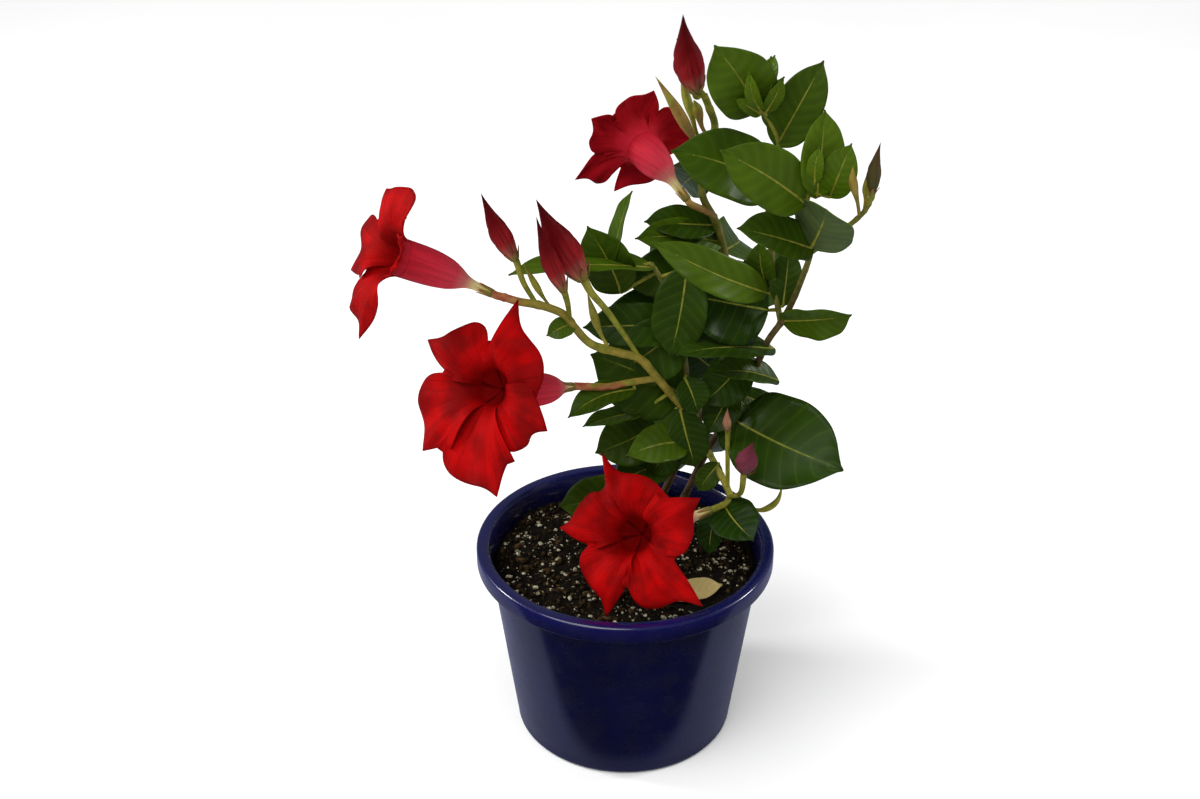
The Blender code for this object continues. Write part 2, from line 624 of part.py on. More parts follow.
def build_bloom(name, bloom, home):
    """A funnel that opens into five lobes, with its outside and inside in one closed surface."""
    base_spot, throat_spot, facing_view, lobes = bloom
    at = bloom_route(seen(*base_spot), seen(*throat_spot), viewed(*facing_view))
    rows = [("pole", 0.0, 0.0)]
    rows += [("funnel", share, radius) for share, radius in FUNNEL_OUTSIDE]
    rows += [("lobe", share, -BLADE) for share in (0.3, 0.65, 1.0)]
    rows += [("lobe", share, 0.0) for share in (0.98, 0.65, 0.3)]
    rows += [("funnel", share, radius) for share, radius in FUNNEL_INSIDE]
    rows += [("pole", FUNNEL_BOTTOM, 0.0)]
    around = 5 * len(LOBE_OUTLINE)

    def place(row, column):
        kind, share, value = row
        lobe, step = divmod(column % around, len(LOBE_OUTLINE))
        part, reach_share = LOBE_OUTLINE[step]
        angle = math.radians(lobe_angle(lobes, lobe, part))
        centre, heading = at(1.0 if kind == "lobe" else share)
        upward = (UPWARD - heading * UPWARD.dot(heading)).normalized()
        outward = upward * math.cos(angle) + heading.cross(upward) * math.sin(angle)
        if kind != "lobe":
            return centre + outward * value
        reach = lobes[lobe][1] * (NOTCH_SHARE + (1 - NOTCH_SHARE) * reach_share)
        radius = THROAT_RADIUS + (reach - THROAT_RADIUS) * share
        lift = 3.2 * math.sin(2.2 * share) + 1.2 * math.sin(math.tau * part) * share
        return centre + outward * radius + heading * (lift + value)

    shell = bmesh.new()
    bmesh.ops.create_grid(shell, x_segments=around, y_segments=len(rows) - 1, size=1.0)
    for corner in shell.verts:
        column = round((corner.co.x + 1.0) / 2.0 * around)
        row = rows[round((corner.co.y + 1.0) / 2.0 * (len(rows) - 1))]
        corner.co = place(row, column) * MM
    bmesh.ops.remove_doubles(shell, verts=shell.verts[:], dist=0.00001)
    bmesh.ops.triangulate(shell, faces=shell.faces[:])
    bmesh.ops.recalc_face_normals(shell, faces=shell.faces[:])
    mesh = bpy.data.meshes.new(name)
    shell.to_mesh(mesh)
    shell.free()
    return add_object(name, mesh, "bloom_red", home)


def build_dead_leaf(home):
    """A small fallen leaf that lies flat on the calm patch of the soil, its edges curled up."""
    length, width = 25.0, 17.0
    shell = bmesh.new()
    bmesh.ops.create_grid(shell, x_segments=2, y_segments=len(LEAF_OUTLINE) - 1, size=1.0)
    for corner in shell.verts:
        share, fullness = LEAF_OUTLINE[round((corner.co.y + 1.0) / 2.0 * (len(LEAF_OUTLINE) - 1))]
        half = width / 2 * fullness
        lift = GAP + BLADE / 2 + 3.0 * (half * corner.co.x / width) ** 2 + 5.0 * max(0.0, share - 0.6) ** 2
        x = DEAD_LEAF_SPOT[0] + length * (share - 0.5)
        y = DEAD_LEAF_SPOT[1] + half * corner.co.x + 0.25 * length * (share - 0.5)
        corner.co = Vector((x, y, SOIL_TOP + lift)) * MM
    bmesh.ops.triangulate(shell, faces=shell.faces[:])
    mesh = bpy.data.meshes.new("mandevilla_dead_leaf")
    shell.to_mesh(mesh)
    shell.free()
    made = add_object("mandevilla_dead_leaf", mesh, "dead_leaf", home)
    solid = made.modifiers.new("thickness", "SOLIDIFY")
    solid.thickness = BLADE * MM
    solid.offset = 0.0
    return made


def main():
    clear_scene()
    home = collection("mandevilla")
    cutters = collection("cutters")
    build_pot(home, cutters)
    build_soil(home, cutters)
    build_vine("mandevilla_vine_right", RIGHT_STEMS, RIGHT_LEAVES, home)
    build_vine("mandevilla_vine_top", TOP_STEMS, TOP_LEAVES, home)
    build_vine("mandevilla_vine_left", LEFT_STEMS, LEFT_LEAVES, home)
    for name, (base, tip, width, look) in BUDS.items():
        build_bud("mandevilla_" + name, base, tip, width, look, home)
    for name, bloom in BLOOMS.items():
        build_bloom("mandevilla_" + name, bloom, home)
    build_dead_leaf(home)


main()
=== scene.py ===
import random
from math import cos, exp, hypot, pi, radians, sin, sqrt, tau

import bmesh
import bpy
from mathutils import Matrix, Vector, noise


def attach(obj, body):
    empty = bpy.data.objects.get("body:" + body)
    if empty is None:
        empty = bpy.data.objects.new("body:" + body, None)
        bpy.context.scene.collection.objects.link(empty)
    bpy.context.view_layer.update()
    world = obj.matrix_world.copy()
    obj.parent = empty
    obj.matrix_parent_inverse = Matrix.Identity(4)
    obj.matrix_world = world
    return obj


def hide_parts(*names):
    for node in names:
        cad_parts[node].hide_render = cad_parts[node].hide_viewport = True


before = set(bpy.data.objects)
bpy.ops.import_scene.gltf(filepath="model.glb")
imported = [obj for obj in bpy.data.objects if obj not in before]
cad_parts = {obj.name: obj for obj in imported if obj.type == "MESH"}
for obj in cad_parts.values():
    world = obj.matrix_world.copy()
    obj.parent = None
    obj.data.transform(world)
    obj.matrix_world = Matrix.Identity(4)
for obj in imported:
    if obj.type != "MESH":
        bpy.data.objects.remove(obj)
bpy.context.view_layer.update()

MM = 0.001
JOIN_GAP = 0.002 * MM
SPIN_JOIN_GAP = 0.005 * MM
ROOT_BODY = "root"
DICE = random.Random(7)

# The eye of the photograph, in millimetres; the layout below is read in its plane as (across, up, back)
EYE = Vector((-11.8, -656.5, 536.0))
EYE_PITCH = radians(28.9)
PLANE_DISTANCE = 783.5
FORWARD = Vector((0.0, cos(EYE_PITCH), -sin(EYE_PITCH)))
UPWARD = Vector((0.0, sin(EYE_PITCH), cos(EYE_PITCH)))
RIGHT = Vector((1.0, 0.0, 0.0))
LENS = 50.0
SENSOR = 36.0
NEAR_CLIP = 0.01

# Studio, in metres: the strength of the sky, the sun, two lamps that put glints on the rim, and the floor.
# Glossy surfaces see a darker floor than the eye does, darkest in front of the pot: a painted reflection that
# darkens the front of the pot and leaves its sides lighter.
SKY_LIGHT = 0.45
SKY_SEEN_MORE = 0.55
SKY_MIRRORED_LESS = 0.65
SUN_STRENGTH = 1.9
SUN_SPREAD = radians(50.0)
SUN_SIDE = (-0.45, -0.55, 1.0)
LAMP_SIZE = 0.25
LAMP_AIM = (0.0, 0.0, 0.15)
LAMPS = {"glint_left": ((-0.95, 0.2, 0.7), 6.0), "glint_right": ((0.95, 0.2, 0.7), 4.5)}
FLOOR_REACH = 6.0
FLOOR_TONES = ((0.95, 0.95, 0.95), (0.97, 0.97, 0.97))
MIRRORED_EDGE = (-0.064, -0.051)
MIRRORED_TONES = ((0.008, 0.008, 0.010), (0.19, 0.20, 0.30))

# Pot and soil, in millimetres
POT_HEIGHT = 98.0
RIM_RADIUS = 70.0
RIM_BAND = 8.4
RIM_OPENING = 65.2
WALL_TOP_RADIUS = 63.7
BASE_RADIUS = 52.0
RIM_EDGE = 1.5
RIM_FOOT = 0.7
LIP = 2.4
LIP_FOOT = 0.6
HOLLOW_DEPTH = 4.8
HOLLOW_CORNER = 1.4
HEEL = 2.6
WALL = 2.0
FLOOR = 2.2
POT_STEPS = 160
DRAIN_HOLES = 8
DRAIN_HOLE_RADIUS = 4.5
DRAIN_CIRCLE_RADIUS = 38.0
SHARP_ANGLE = radians(40.0)
# Painted highlight: the top of the rim is painted a brighter blue between these heights, in metres
RIM_PAINTED_HIGHLIGHT = (0.0020, 0.0026, 0.062)
RIM_PAINTED_HIGHLIGHT_HEIGHTS = (0.089, 0.098)
DUST_TONE = (0.10, 0.10, 0.20)
SOIL_TOP = 88.0
SOIL_ROUGHNESS = 1.7
SOIL_GAP = 0.3
SOIL_RINGS = 60
SOIL_STEPS = 180
SOIL_SHOULDER = 14.0
SOIL_FOOT_INSET = 6.0
STEM_CLEARING = 3.6
DEAD_LEAF_SPOT = (32.0, -28.0)
DEAD_LEAF_SIZE = (25.0, 17.0)
DEAD_LEAF_THICKNESS = 0.35
DEAD_LEAF_CLEARING = 17.0
GRAIN_CLEARING = 15.0

# Grains on the soil: finish, count, least and greatest radius, stretch along and up, share that stands out
GRAINS = {
    "soil_crumbs": ("crumb", 1500, (0.5, 1.5), (1.0, 1.0), 0.25),
    "bark_chips": ("bark", 170, (0.6, 1.7), (2.2, 0.5), 0.3),
    "perlite_grains": ("perlite", 900, (0.26, 1.3), (1.25, 0.7), 0.3),
}

# Leaves, in millimetres; the outline is half the width as a share of the widest, from base to tip
LEAF_THICKNESS = 0.4
LEAF_COLUMNS = 14
LEAF_ROWS = 34
SIDE_VEINS = 8.0
VEIN_SWEEP = 3.64
VEIN_CURVE = 1.25
LEAF_PATCHES = 45.0
LEAF_SWAY = 0.05
LEAF_FOLD = (0.14, 0.30)
TIP_DROOP = 0.10
DROOP_START = 0.8
QUILT_RISE = 0.55
BROAD_LEAF = 24.0
RUFFLE_SHARE = 0.06
MIDRIB_GROOVE = 0.35
RIB_DEPTH = 0.45
RIB_STATIONS = (0.0, 0.1, 0.25, 0.45, 0.65, 0.82)
LEAST_STALK = 1.5
STALK_RADIUS = 0.95
STALK_TAPER = 0.75
LEAF_OUTLINE = ((0, 0.1), (0.05, 0.42), (0.12, 0.68), (0.22, 0.88), (0.35, 0.98), (0.5, 1), (0.65, 0.94),
                (0.78, 0.76), (0.87, 0.51), (0.93, 0.25), (0.97, 0.09), (1, 0.02))

# Blooms, in millimetres
PETAL_THICKNESS = 0.45
LOBE_TIP = 0.76
LOBE_OVERLAP = 0.10
LOBE_COLUMNS = 60
LOBE_ROWS = 26
FUNNEL_COLUMNS = 60
FUNNEL_ROWS = 36
THROAT_RADIUS = 7.6
THROAT_DEPTH = 12.0
FLARE_DEPTH = 5.0
FUNNEL_SHORTFALL = 4.9
THROAT_BOTTOM_RADIUS = 0.2
THROAT_SHARE = 0.30
LOBE_SHOULDER = ((0, 0), (0.04, 0.2), (0.1, 0.36), (0.2, 0.48), (0.34, 0.55), (0.5, 0.57), (0.6, 0.61),
                 (0.68, 0.74), (0.76, 1))
LOBE_FALL = ((0.76, 1), (0.8, 0.8), (0.86, 0.53), (0.93, 0.25), (1, 0))
LEAST_FLARE = 2.2
LONG_LOBE = 34.0
LOBE_CURL = (0.6, 2.0)
LOBE_CREASE = 1.2
FOLDED_CREASE = 5.0
LOBE_LEAN = 3.0
LOBE_ARCH = 3.2
FUNNEL_RIDGES = 0.15
SEPALS = 5
SEPAL_THICKNESS = 0.3
STREAK_TONE = (0.05, 0.003, 0.005)
FUNNEL = ((0, 1.8), (0.12, 1.9), (0.24, 2.1), (0.32, 3), (0.4, 4.7), (0.5, 6.3), (0.64, 7.4), (0.78, 7.9),
          (0.92, 8.1), (1, 8.15))
BUD_OUTLINE = ((0, 0.4), (0.05, 0.54), (0.14, 0.75), (0.27, 0.95), (0.36, 1), (0.48, 0.9), (0.62, 0.64),
               (0.76, 0.37), (0.88, 0.17), (0.95, 0.08), (1, 0.01))
BUD_STEPS = 30
BUD_SIDES = 28
BUD_BEND = 0.03
BUD_TWIST = 5.0
BUD_RIDGES = 0.30

# Stems: where three of them leave the soil; and for each its vine, radius at foot and end, age at foot and end
# (1 brown, 0 green), blush at the end, and points
ROOTS = {"right_vine": (22.0, 14.0), "top_vine": (14.0, 34.0), "left_vine": (-4.0, 12.0)}
STEMS = {
    "right_vine": ("right", 1.9, 1.5, 0.9, 0.6, 0, (
        (33, -58, 15), (40, -45, 17), (50, -25, 18), (62, -5, 16), (71, 10, 13), (78, 26, 10), (85, 36, 8))),
    "right_fork": ("right", 1.5, 1.1, 0.6, 0.3, 0, (
        (85, 36, 8), (90, 45, 6), (95, 57, 2), (99, 69, 0), (100, 81, -3), (97, 92, -5), (101, 104, -6))),
    "left_fork": ("right", 1.4, 0.9, 0.5, 0.2, 0, (
        (85, 36, 8), (83, 48, 12), (80, 75, 18), (79, 87, 20), (81, 99, 20), (84, 119, 16), (80, 130, 14),
        (74, 138, 12))),
    "right_raceme": ("right", 1.2, 1, 0.45, 0.4, 0, (
        (99, 69, 0), (112, 78, -5), (122, 86, -8), (126, 91, -9), (128, 96, -10))),
    "low_shoot": ("right", 1.6, 1.5, 0.3, 0.1, 0.1, (
        (50, -23, 18), (55, -32, 8), (60, -42, 0), (61, -46, -4), (59, -49, -8))),
    "top_vine": ("top", 1.9, 1.6, 0.85, 0.1, 0, (
        (28, -48, 34), (40, -22, 38), (54, 6, 40), (61, 33, 40), (60, 60, 40), (55, 82, 38), (48, 97, 36),
        (50, 117, 32), (54, 128, 28), (51, 138, 24), (49, 143, 22))),
    "upper_stalk": ("top", 1.5, 1.6, 0.2, 0.15, 0.55, (
        (54, 86, 38), (49, 89, 33))),
    "left_vine": ("left", 1.8, 1.1, 0.8, 0.4, 0, (
        (10, -60, 12), (22, -42, 12), (34, -20, 10), (40, 0, 8), (40, 18, 8), (36, 36, 10), (30, 54, 12),
        (24, 64, 14))),
    "left_raceme": ("left", 1.9, 1.7, 0.1, 0.15, 0.95, (
        (39, -4, 8), (27, 10, 0), (19, 19, -4), (9, 22, -8), (-4, 26, -12), (-12, 34, -14), (-17, 40, -16),
        (-27, 44, -18), (-38, 46, -20), (-45, 48, -20))),
    "front_stalk": ("left", 1.5, 1.8, 0.1, 0.15, 1, (
        (27, 10, 0), (14, 8, -4), (4, 6, -8), (-3, 6, -11))),
}
ROOT_HEIGHTS = (-21.0, -11.0, 1.5, 6.0)
STEM_SIDES = 14
STALK_SIDES = 12
KNOTS = 6.0
KNOT_SWELLING = 0.16
BLUSH_REACH = 38.0
BLUSH_FADE = 9.0
LEAST_BLUSH = 0.25
JOINT_LENGTH = 2.5
BEARERS = {"left_raceme": "left", "front_stalk": "lower_left", "low_shoot": "bottom", "upper_stalk": "upper"}

# Leaves of each vine: base, tip, width, roll in degrees, arch, tone (0 dark, 1 bright);
# the tone is partly each leaf's own green and partly painted light and shade: leaves lying in shade are darker,
# leaves with a glossy highlight brighter
LEAVES = {
    "right": (
        ((74, 135, 13), (54, 166, 4), 27, 5, 2, 0.6), ((76, 142, 14), (82, 162, 20), 8, 20, 1, 0.8),
        ((83, 119, 16), (105, 159, 12), 20, 0, 2.5, 0.45), ((80, 127, 20), (86, 152, 27), 14, 60, 2, 0.2),
        ((102, 95, -6), (106, 136, -2), 18, -15, 2, 0.75), ((108, 95, -6), (118, 120, -12), 15, 10, 2, 0.7),
        ((101, 102, -6), (103, 118, -12), 7, 0, 1, 1), ((97, 92, -6), (57, 117, -16), 25, -8, 3, 0.6),
        ((81, 99, 19), (34, 117, 4), 29, -12, 3, 0.35), ((100, 71, -1), (65, 81, -16), 22, -40, 3, 0.3),
        ((99, 71, -1), (107, 90, -22), 28, 192, 2, 1), ((79, 50, 14), (25, 74, -8), 18, -10, 4, 0.65),
        ((79, 42, 17), (37, 50, 4), 37, -6, 3, 0.04), ((79, 52, 18), (75, 74, 12), 13, 20, 1.5, 0.4),
        ((86, 44, 10), (89, 71, 18), 14, 10, 1.5, 0.2), ((85, 37, 8), (118, 39, -14), 20, -48, 1.5, 0.5),
        ((82, 24, 10), (36, 22, -14), 22, -56, 3, 0.14), ((84, 9, 12), (53, 13, -4), 16, -45, 2, 0.2),
        ((64, -10, 16), (114, -33, -22), 43, 10, 4, 0.1), ((67, 2, 18), (79, -4, 24), 11, 10, 1.5, 0.2),
        ((62, 6, 20), (51, -16, 6), 18, 10, 1.5, 0.15), ((68, 20, 18), (48, -2, 4), 22, 10, 2, 0.1),
        ((56, -30, 8), (46, -43, 2), 11, 10, 1, 0.3), ((58, -49, -6), (72, -66, -30), 22, 10, 2, 0),
        ((55, -50, -4), (51, -73, -16), 13, -20, 1.5, 0.02), ((58, -8, 18), (64, -26, 10), 15, 15, 1.5, 0.1),
        ((76, 135, 12), (70, 153, 0), 6, 10, 1, 1), ((77, 136, 13), (80, 161, 8), 7, 30, 1, 1),
        ((78, 135, 12), (86, 150, 4), 7, -20, 1, 0.9), ((76, 134, 13), (64, 141, 4), 6, 0, 1, 0.9),
    ),
    "top": (
        ((55, 82, 40), (21, 84, 30), 17, -30, 1.5, 0.15), ((58, 74, 40), (17, 76, 22), 17, -20, 2, 0.55),
        ((60, 56, 40), (10, 56, 20), 26, -10, 3, 0.15), ((60, 42, 40), (-2, 36, 16), 30, 0, 3, 0.1),
        ((50, 110, 34), (38, 100, 70), 20, 10, 3, 0.4), ((51, 114, 33), (86, 102, 60), 24, 0, 3, 0.4),
        ((60, 66, 40), (22, 66, 74), 28, 20, 4, 0.3), ((60, 52, 40), (90, 60, 66), 28, -20, 4, 0.3),
        ((58, 70, 40), (64, 76, 92), 28, 0, 4, 0.45), ((50, 0, 40), (6, -4, 68), 30, 20, 4, 0.25),
        ((56, 4, 40), (92, -16, 64), 26, -20, 4, 0.3), ((44, -16, 38), (48, -26, 84), 30, 0, 4, 0.35),
        ((58, 34, 34), (28, 46, 26), 28, -8, 2.5, 0.1), ((54, 14, 32), (34, 34, 20), 26, 12, 2.5, 0.12),
    ),
    "left": (
        ((10, 50, 16), (-6, 81, 12), 22, 15, 2, 0.35), ((5, 60, 18), (14, 98, 12), 11, 60, 1.5, 0.5),
        ((26, 62, 14), (-43, 60, -2), 20, -62, 3, 0.6), ((38, 34, 10), (-8, 34, 4), 20, -10, 3, 0.1),
        ((39, 2, 12), (-4, 21, 2), 38, 0, 4, 0.2), ((38, 34, 12), (8, 12, 4), 30, 20, 3, 0.15),
        ((16, 5, -4), (-15, -8, -22), 14, -35, 2.5, 0.3), ((20, -5, 2), (-8, -12, -16), 12, -50, 1.5, 0.3),
        ((26, -12, 8), (-2, -25, -8), 24, 0, 2, 0.3), ((40, -20, 4), (13, -26, -22), 18, -12, 2.5, 0.55),
        ((32, -30, 12), (6, -40, -6), 20, -20, 2, 0.2), ((16, -44, 12), (-19, -50, -4), 23, -10, 2, 0.3),
        ((-12, 36, -14), (-25, 30, -20), 9, 0, 1, 0.5), ((38, -6, 4), (45, -32, 0), 19, 10, 2, 0.12),
        ((34, -12, 6), (24, -36, 2), 20, -10, 2, 0.1), ((40, 10, 4), (46, -6, -2), 16, 20, 1.5, 0.1),
        ((41, 62, 6), (33, 20, 0), 24, -8, 3, 0.14),
    ),
}

# Buds: base, tip, width, finish, vine, and the points of the stalk
BUDS = {
    "top": ((45, 145, 22), (39, 181, 12), 13, "red", "top", ((49, 143, 22), (47, 143, 22))),
    "top_slim": ((41, 155, 32), (36, 170, 36), 5, "red", "top", ((50, 142, 23), (45, 148, 29))),
    "left": ((-8, 57, -12), (-30, 94, -18), 14, "red", "left",
        ((19, 19, -4), (11, 31, -7), (3, 42, -9), (-4, 50, -11))),
    "left_behind": ((-17, 51, -22), (-30, 86, -30), 8, "red", "left", ((-14, 36, -15), (-15, 44, -19))),
    "far_left": ((-40, 66, -18), (-56, 97, -22), 9, "red", "left", ((-30, 45, -18), (-36, 55, -18))),
    "right": ((128, 97, -10), (132, 121, -14), 6, "green", "right", ((126, 91, -9), (127, 94, -10))),
    "pale": ((60, -15, 2), (60, -4, 0), 4, "pale", "right", ((60, -42, 0), (60, -28, 2))),
    "spent": ((68, -34, -22), (72, -20, -28), 10, "spent", "right", ((60, -46, -4), (66, -44, -16))),
}

# Green buds and shoots in the stems' own finish: vine, points, greatest radius, blush
GREEN_BUDS = (
    ("right", ((122, 86, -8), (121, 93, -11), (119, 102, -14), (119, 110, -14)), 1.9, 0.35),
    ("right", ((124, 88, -8), (125, 96, -6), (125, 105, -5)), 1.6, 0.3),
    ("top", ((51, 120, 31), (46, 124, 28), (43, 134, 27), (40, 144, 30), (38, 151, 32)), 2.0, 0.1),
    ("top", ((50, 117, 32), (46, 120, 28), (42, 126, 22), (35, 138, 15), (26, 152, 10)), 2.5, 0.5),
    ("top", ((52, 122, 30), (48, 128, 26), (46, 136, 22), (44, 141, 20)), 2.1, 0.6),
    ("left", ((-22, 42, -16), (-28, 50, -14), (-36, 64, -12)), 1.5, 0.1),
    ("left", ((4, 24, -10), (-1, 34, -9), (-6, 50, -9)), 1.9, 0.15),
    ("right", ((61, -46, -4), (69, -50, -8), (76, -52, -10), (83, -48, -12), (86, -40, -12)), 1.5, 0.1),
)
GREEN_BUD_OUTLINE = ((0, 0.42), (0.3, 0.42), (0.45, 0.62), (0.6, 1), (0.72, 0.95), (0.86, 0.52), (0.95, 0.2),
                     (1, 0.02))

# Blooms: base, throat, facing (right, up, towards the eye), how late the funnel widens, the folded lobe if any,
# and the lobes as (degrees from up, reach, slimness of the tip, reach of the notch before it as a share)
BLOOMS = {
    "left": ((-51, 50, -20), (-98, 68, -28), (-0.8, 0.2, 0.55), 1.15, None, (
        (24, 32, 0.45, 0.56), (96, 37, 0.85, 0.56), (158, 38, 0.85, 0.56), (236, 12, 0.85, 0.56),
        (308, 12, 0.85, 0.56))),
    "lower_left": ((-13, 6, -14), (-53, 6, -44), (-0.52, 0.1, 0.85), 1.9, 4, (
        (57, 37, 0.9, 0.5), (131, 42, 1, 0.53), (192, 47, 1, 0.72), (240, 37, 1, 0.75), (340, 39, 1.6, 0.66))),
    "bottom": ((52, -52, -13), (15, -64, -40), (-0.4, 0.02, 0.9), 1.4, 0, (
        (22, 40, 3, 0.62), (86, 35, 1, 0.62), (163, 38, 1.1, 0.57), (229, 45, 1.15, 0.5),
        (298, 37, 1.1, 0.52))),
    "upper": ((41, 94, 29), (18, 120, 50), (-0.36, 0.42, -0.8), 1, None, (
        (6, 25, 0.75, 0.66), (81, 26, 0.75, 0.66), (197, 24, 0.75, 0.55), (236, 33, 0.9, 0.4),
        (292, 27, 0.75, 0.6))),
}


def seen(across, up, back):
    """The point in millimetres behind a spot of the photograph's plane, this far behind the pot's axis."""
    sight = FORWARD * PLANE_DISTANCE + RIGHT * across + UPWARD * up
    return EYE + sight * ((back - EYE.y) / sight.y)


def viewed(right, up, toward):
    return (RIGHT * right + UPWARD * up - FORWARD * toward).normalized()


def smooth_path(points, steps=6):
    """A round route through the points."""
    ends = [points[0] * 2 - points[1], *points, points[-1] * 2 - points[-2]]
    route = []
    for number in range(len(points) - 1):
        before, start, finish, after = ends[number:number + 4]
        for step in range(steps):
            t = step / steps
            route.append(0.5 * (start * 2 + (finish - before) * t
                                + (before * 2 - start * 5 + finish * 4 - after) * t * t
                                + (start * 3 - before - finish * 3 + after) * t ** 3))
    route.append(points[-1].copy())
    return route


def eased(stations, at):
    """A smooth curve through (place, value) pairs."""
    last = len(stations) - 1
    number = 0
    while number < last - 1 and at > stations[number + 1][0]:
        number += 1
    (x0, y0), (x1, y1) = stations[number], stations[number + 1]
    before = stations[max(0, number - 1)]
    after = stations[min(last, number + 2)]
    width = x1 - x0
    slope0 = (y1 - before[1]) / (x1 - before[0]) * width
    slope1 = (after[1] - y0) / (after[0] - x0) * width
    t = min(1.0, max(0.0, (at - x0) / width))
    return (y0 * (2 * t ** 3 - 3 * t * t + 1) + slope0 * (t ** 3 - 2 * t * t + t)
            + y1 * (3 * t * t - 2 * t ** 3) + slope1 * (t ** 3 - t * t))


def new_shell():
    """An empty bmesh with a UV map and the two values that the plant's materials read."""
    shell = bmesh.new()
    shell.loops.layers.uv.new("UVMap")
    shell.verts.layers.float.new("tone")
    shell.verts.layers.float.new("age")
    return shell


def sheet(shell, columns, rows, place, tone=0.0, age=None):
    """A grid of faces whose corners go where place(u, v) says, in millimetres, with u and v as its UV."""
    tones = shell.verts.layers.float["tone"]
    ages = shell.verts.layers.float["age"]
    made = bmesh.ops.create_grid(shell, x_segments=columns, y_segments=rows, size=1.0, calc_uvs=True)["verts"]
    for corner in made:
        u, v = (corner.co.x + 1.0) / 2.0, (corner.co.y + 1.0) / 2.0
        corner[tones] = tone(v) if callable(tone) else tone
        corner[ages] = age(v) if age else 0.0
        corner.co = place(u, v) * MM
    return made


def swept(shell, route, radius, sides, tone=0.0, age=None, relief=None):
    """A closed round body along a route; radius(v) and relief(angle, v) shape it, and its ends are domed."""
    frames = []
    side = (route[1] - route[0]).orthogonal().normalized()
    for number, spot in enumerate(route):
        ahead = route[min(number + 1, len(route) - 1)] - route[max(number - 1, 0)]
        heading = ahead.normalized()
        side = (side - heading * side.dot(heading)).normalized()
        frames.append((spot, side.copy(), heading.cross(side)))
    last = len(route) - 1
    rows = last + 2

    def place(u, v):
        row = round(v * rows)
        number = min(last, max(0, row - 1))
        spot, across, over = frames[number]
        if row in (0, rows):
            return spot
        share = number / last
        angle = tau * u
        reach = radius(share) * (relief(angle, share) if relief else 1.0)
        return spot + (across * cos(angle) + over * sin(angle)) * reach

    made = sheet(shell, sides, rows, place, tone, age)
    bmesh.ops.remove_doubles(shell, verts=made, dist=JOIN_GAP)


def mesh_of(name, shell):
    mesh = bpy.data.meshes.new(name)
    shell.to_mesh(mesh)
    shell.free()
    return mesh


def placed(name, data):
    """An object at the origin of the scene."""
    thing = bpy.data.objects.new(name, data)
    bpy.context.scene.collection.objects.link(thing)
    return thing


def finish_piece(name, shell, finishes, nodes, thickness=0.0):
    """Turn a bmesh into a smooth piece that stands for its CAD nodes; a sheet's second finish is on its back."""
    if not thickness:
        bmesh.ops.recalc_face_normals(shell, faces=shell.faces[:])
    mesh = mesh_of(name, shell)
    for finish in finishes:
        mesh.materials.append(finish)
    mesh.shade_smooth()
    piece = placed(name, mesh)
    if thickness:
        solid = piece.modifiers.new("thickness", "SOLIDIFY")
        solid.thickness = thickness * MM
        solid.offset = -1.0
        solid.material_offset = len(finishes) - 1
    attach(piece, ROOT_BODY)
    if nodes:
        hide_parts(*nodes)
    return piece


# Materials


def scaled(colour, by):
    return tuple(value * by for value in colour)


class Nodes:
    """Short ways to add and join shader nodes in one tree."""

    def __init__(self, tree, material=None):
        self.tree = tree
        self.material = material
        self.shader = tree.nodes.get("Principled BSDF")

    def link(self, source, target):
        self.tree.links.new(source, target)

    def feed(self, socket, value):
        """Link another socket or set a constant; a colour is given without its alpha."""
        if isinstance(value, bpy.types.NodeSocket):
            self.link(value, socket)
        else:
            socket.default_value = (*value, 1.0) if socket.type == "RGBA" else value

    def add(self, kind, inputs=None, **settings):
        node = self.tree.nodes.new(kind)
        for name, setting in settings.items():
            setattr(node, name, setting)
        for key, value in (inputs or {}).items():
            self.feed(node.inputs[key], value)
        return node

    def math(self, operation, *values, clamp=False):
        node = self.add("ShaderNodeMath", dict(enumerate(values)), operation=operation, use_clamp=clamp)
        return node.outputs[0]

    def mix(self, factor, first, second):
        return self.add("ShaderNodeMix", {0: factor, 6: first, 7: second}, data_type="RGBA").outputs[2]

    def noise(self, vector, scale, detail=3.0, roughness=0.5):
        values = {"Vector": vector, "Scale": scale, "Detail": detail, "Roughness": roughness}
        return self.add("ShaderNodeTexNoise", values).outputs["Fac"]

    def range(self, value, low, high, to_low=0.0, to_high=1.0):
        values = dict(enumerate((value, low, high, to_low, to_high)))
        return self.add("ShaderNodeMapRange", values, interpolation_type="SMOOTHSTEP").outputs[0]

    def ramp(self, value, stops):
        node = self.add("ShaderNodeValToRGB", {0: value})
        elements = node.color_ramp.elements
        while len(elements) < len(stops):
            elements.new(0.5)
        for element, (place, colour) in zip(elements, stops):
            element.position = place
            element.color = (*colour, 1.0)
        return node.outputs["Color"]

    def parts(self, vector):
        return self.add("ShaderNodeSeparateXYZ", {0: vector}).outputs

    def attribute(self, name):
        return self.add("ShaderNodeAttribute", attribute_name=name).outputs["Fac"]

    def mottled(self, vector, scale, first, second):
        values = {"Vector": vector, "Scale": scale, "First": first, "Second": second}
        return self.add("ShaderNodeGroup", values, node_tree=MOTTLE).outputs["Color"]

    def streaks(self, uv, across, along, roughness):
        """Fine lines that run from the base of a petal to its edge."""
        stretch = self.add("ShaderNodeMapping", {"Vector": uv, "Scale": (across, along, 1.0)})
        return self.noise(stretch.outputs[0], 1.0, 4.0, roughness)

    def finish(self, colour, height, strength, depth):
        """Join a colour and a relief, in metres, to the shader, and give the material back."""
        bump = self.add("ShaderNodeBump", {"Height": height, "Strength": strength, "Distance": depth})
        self.link(colour, self.shader.inputs["Base Color"])
        self.link(bump.outputs["Normal"], self.shader.inputs["Normal"])
        return self.material


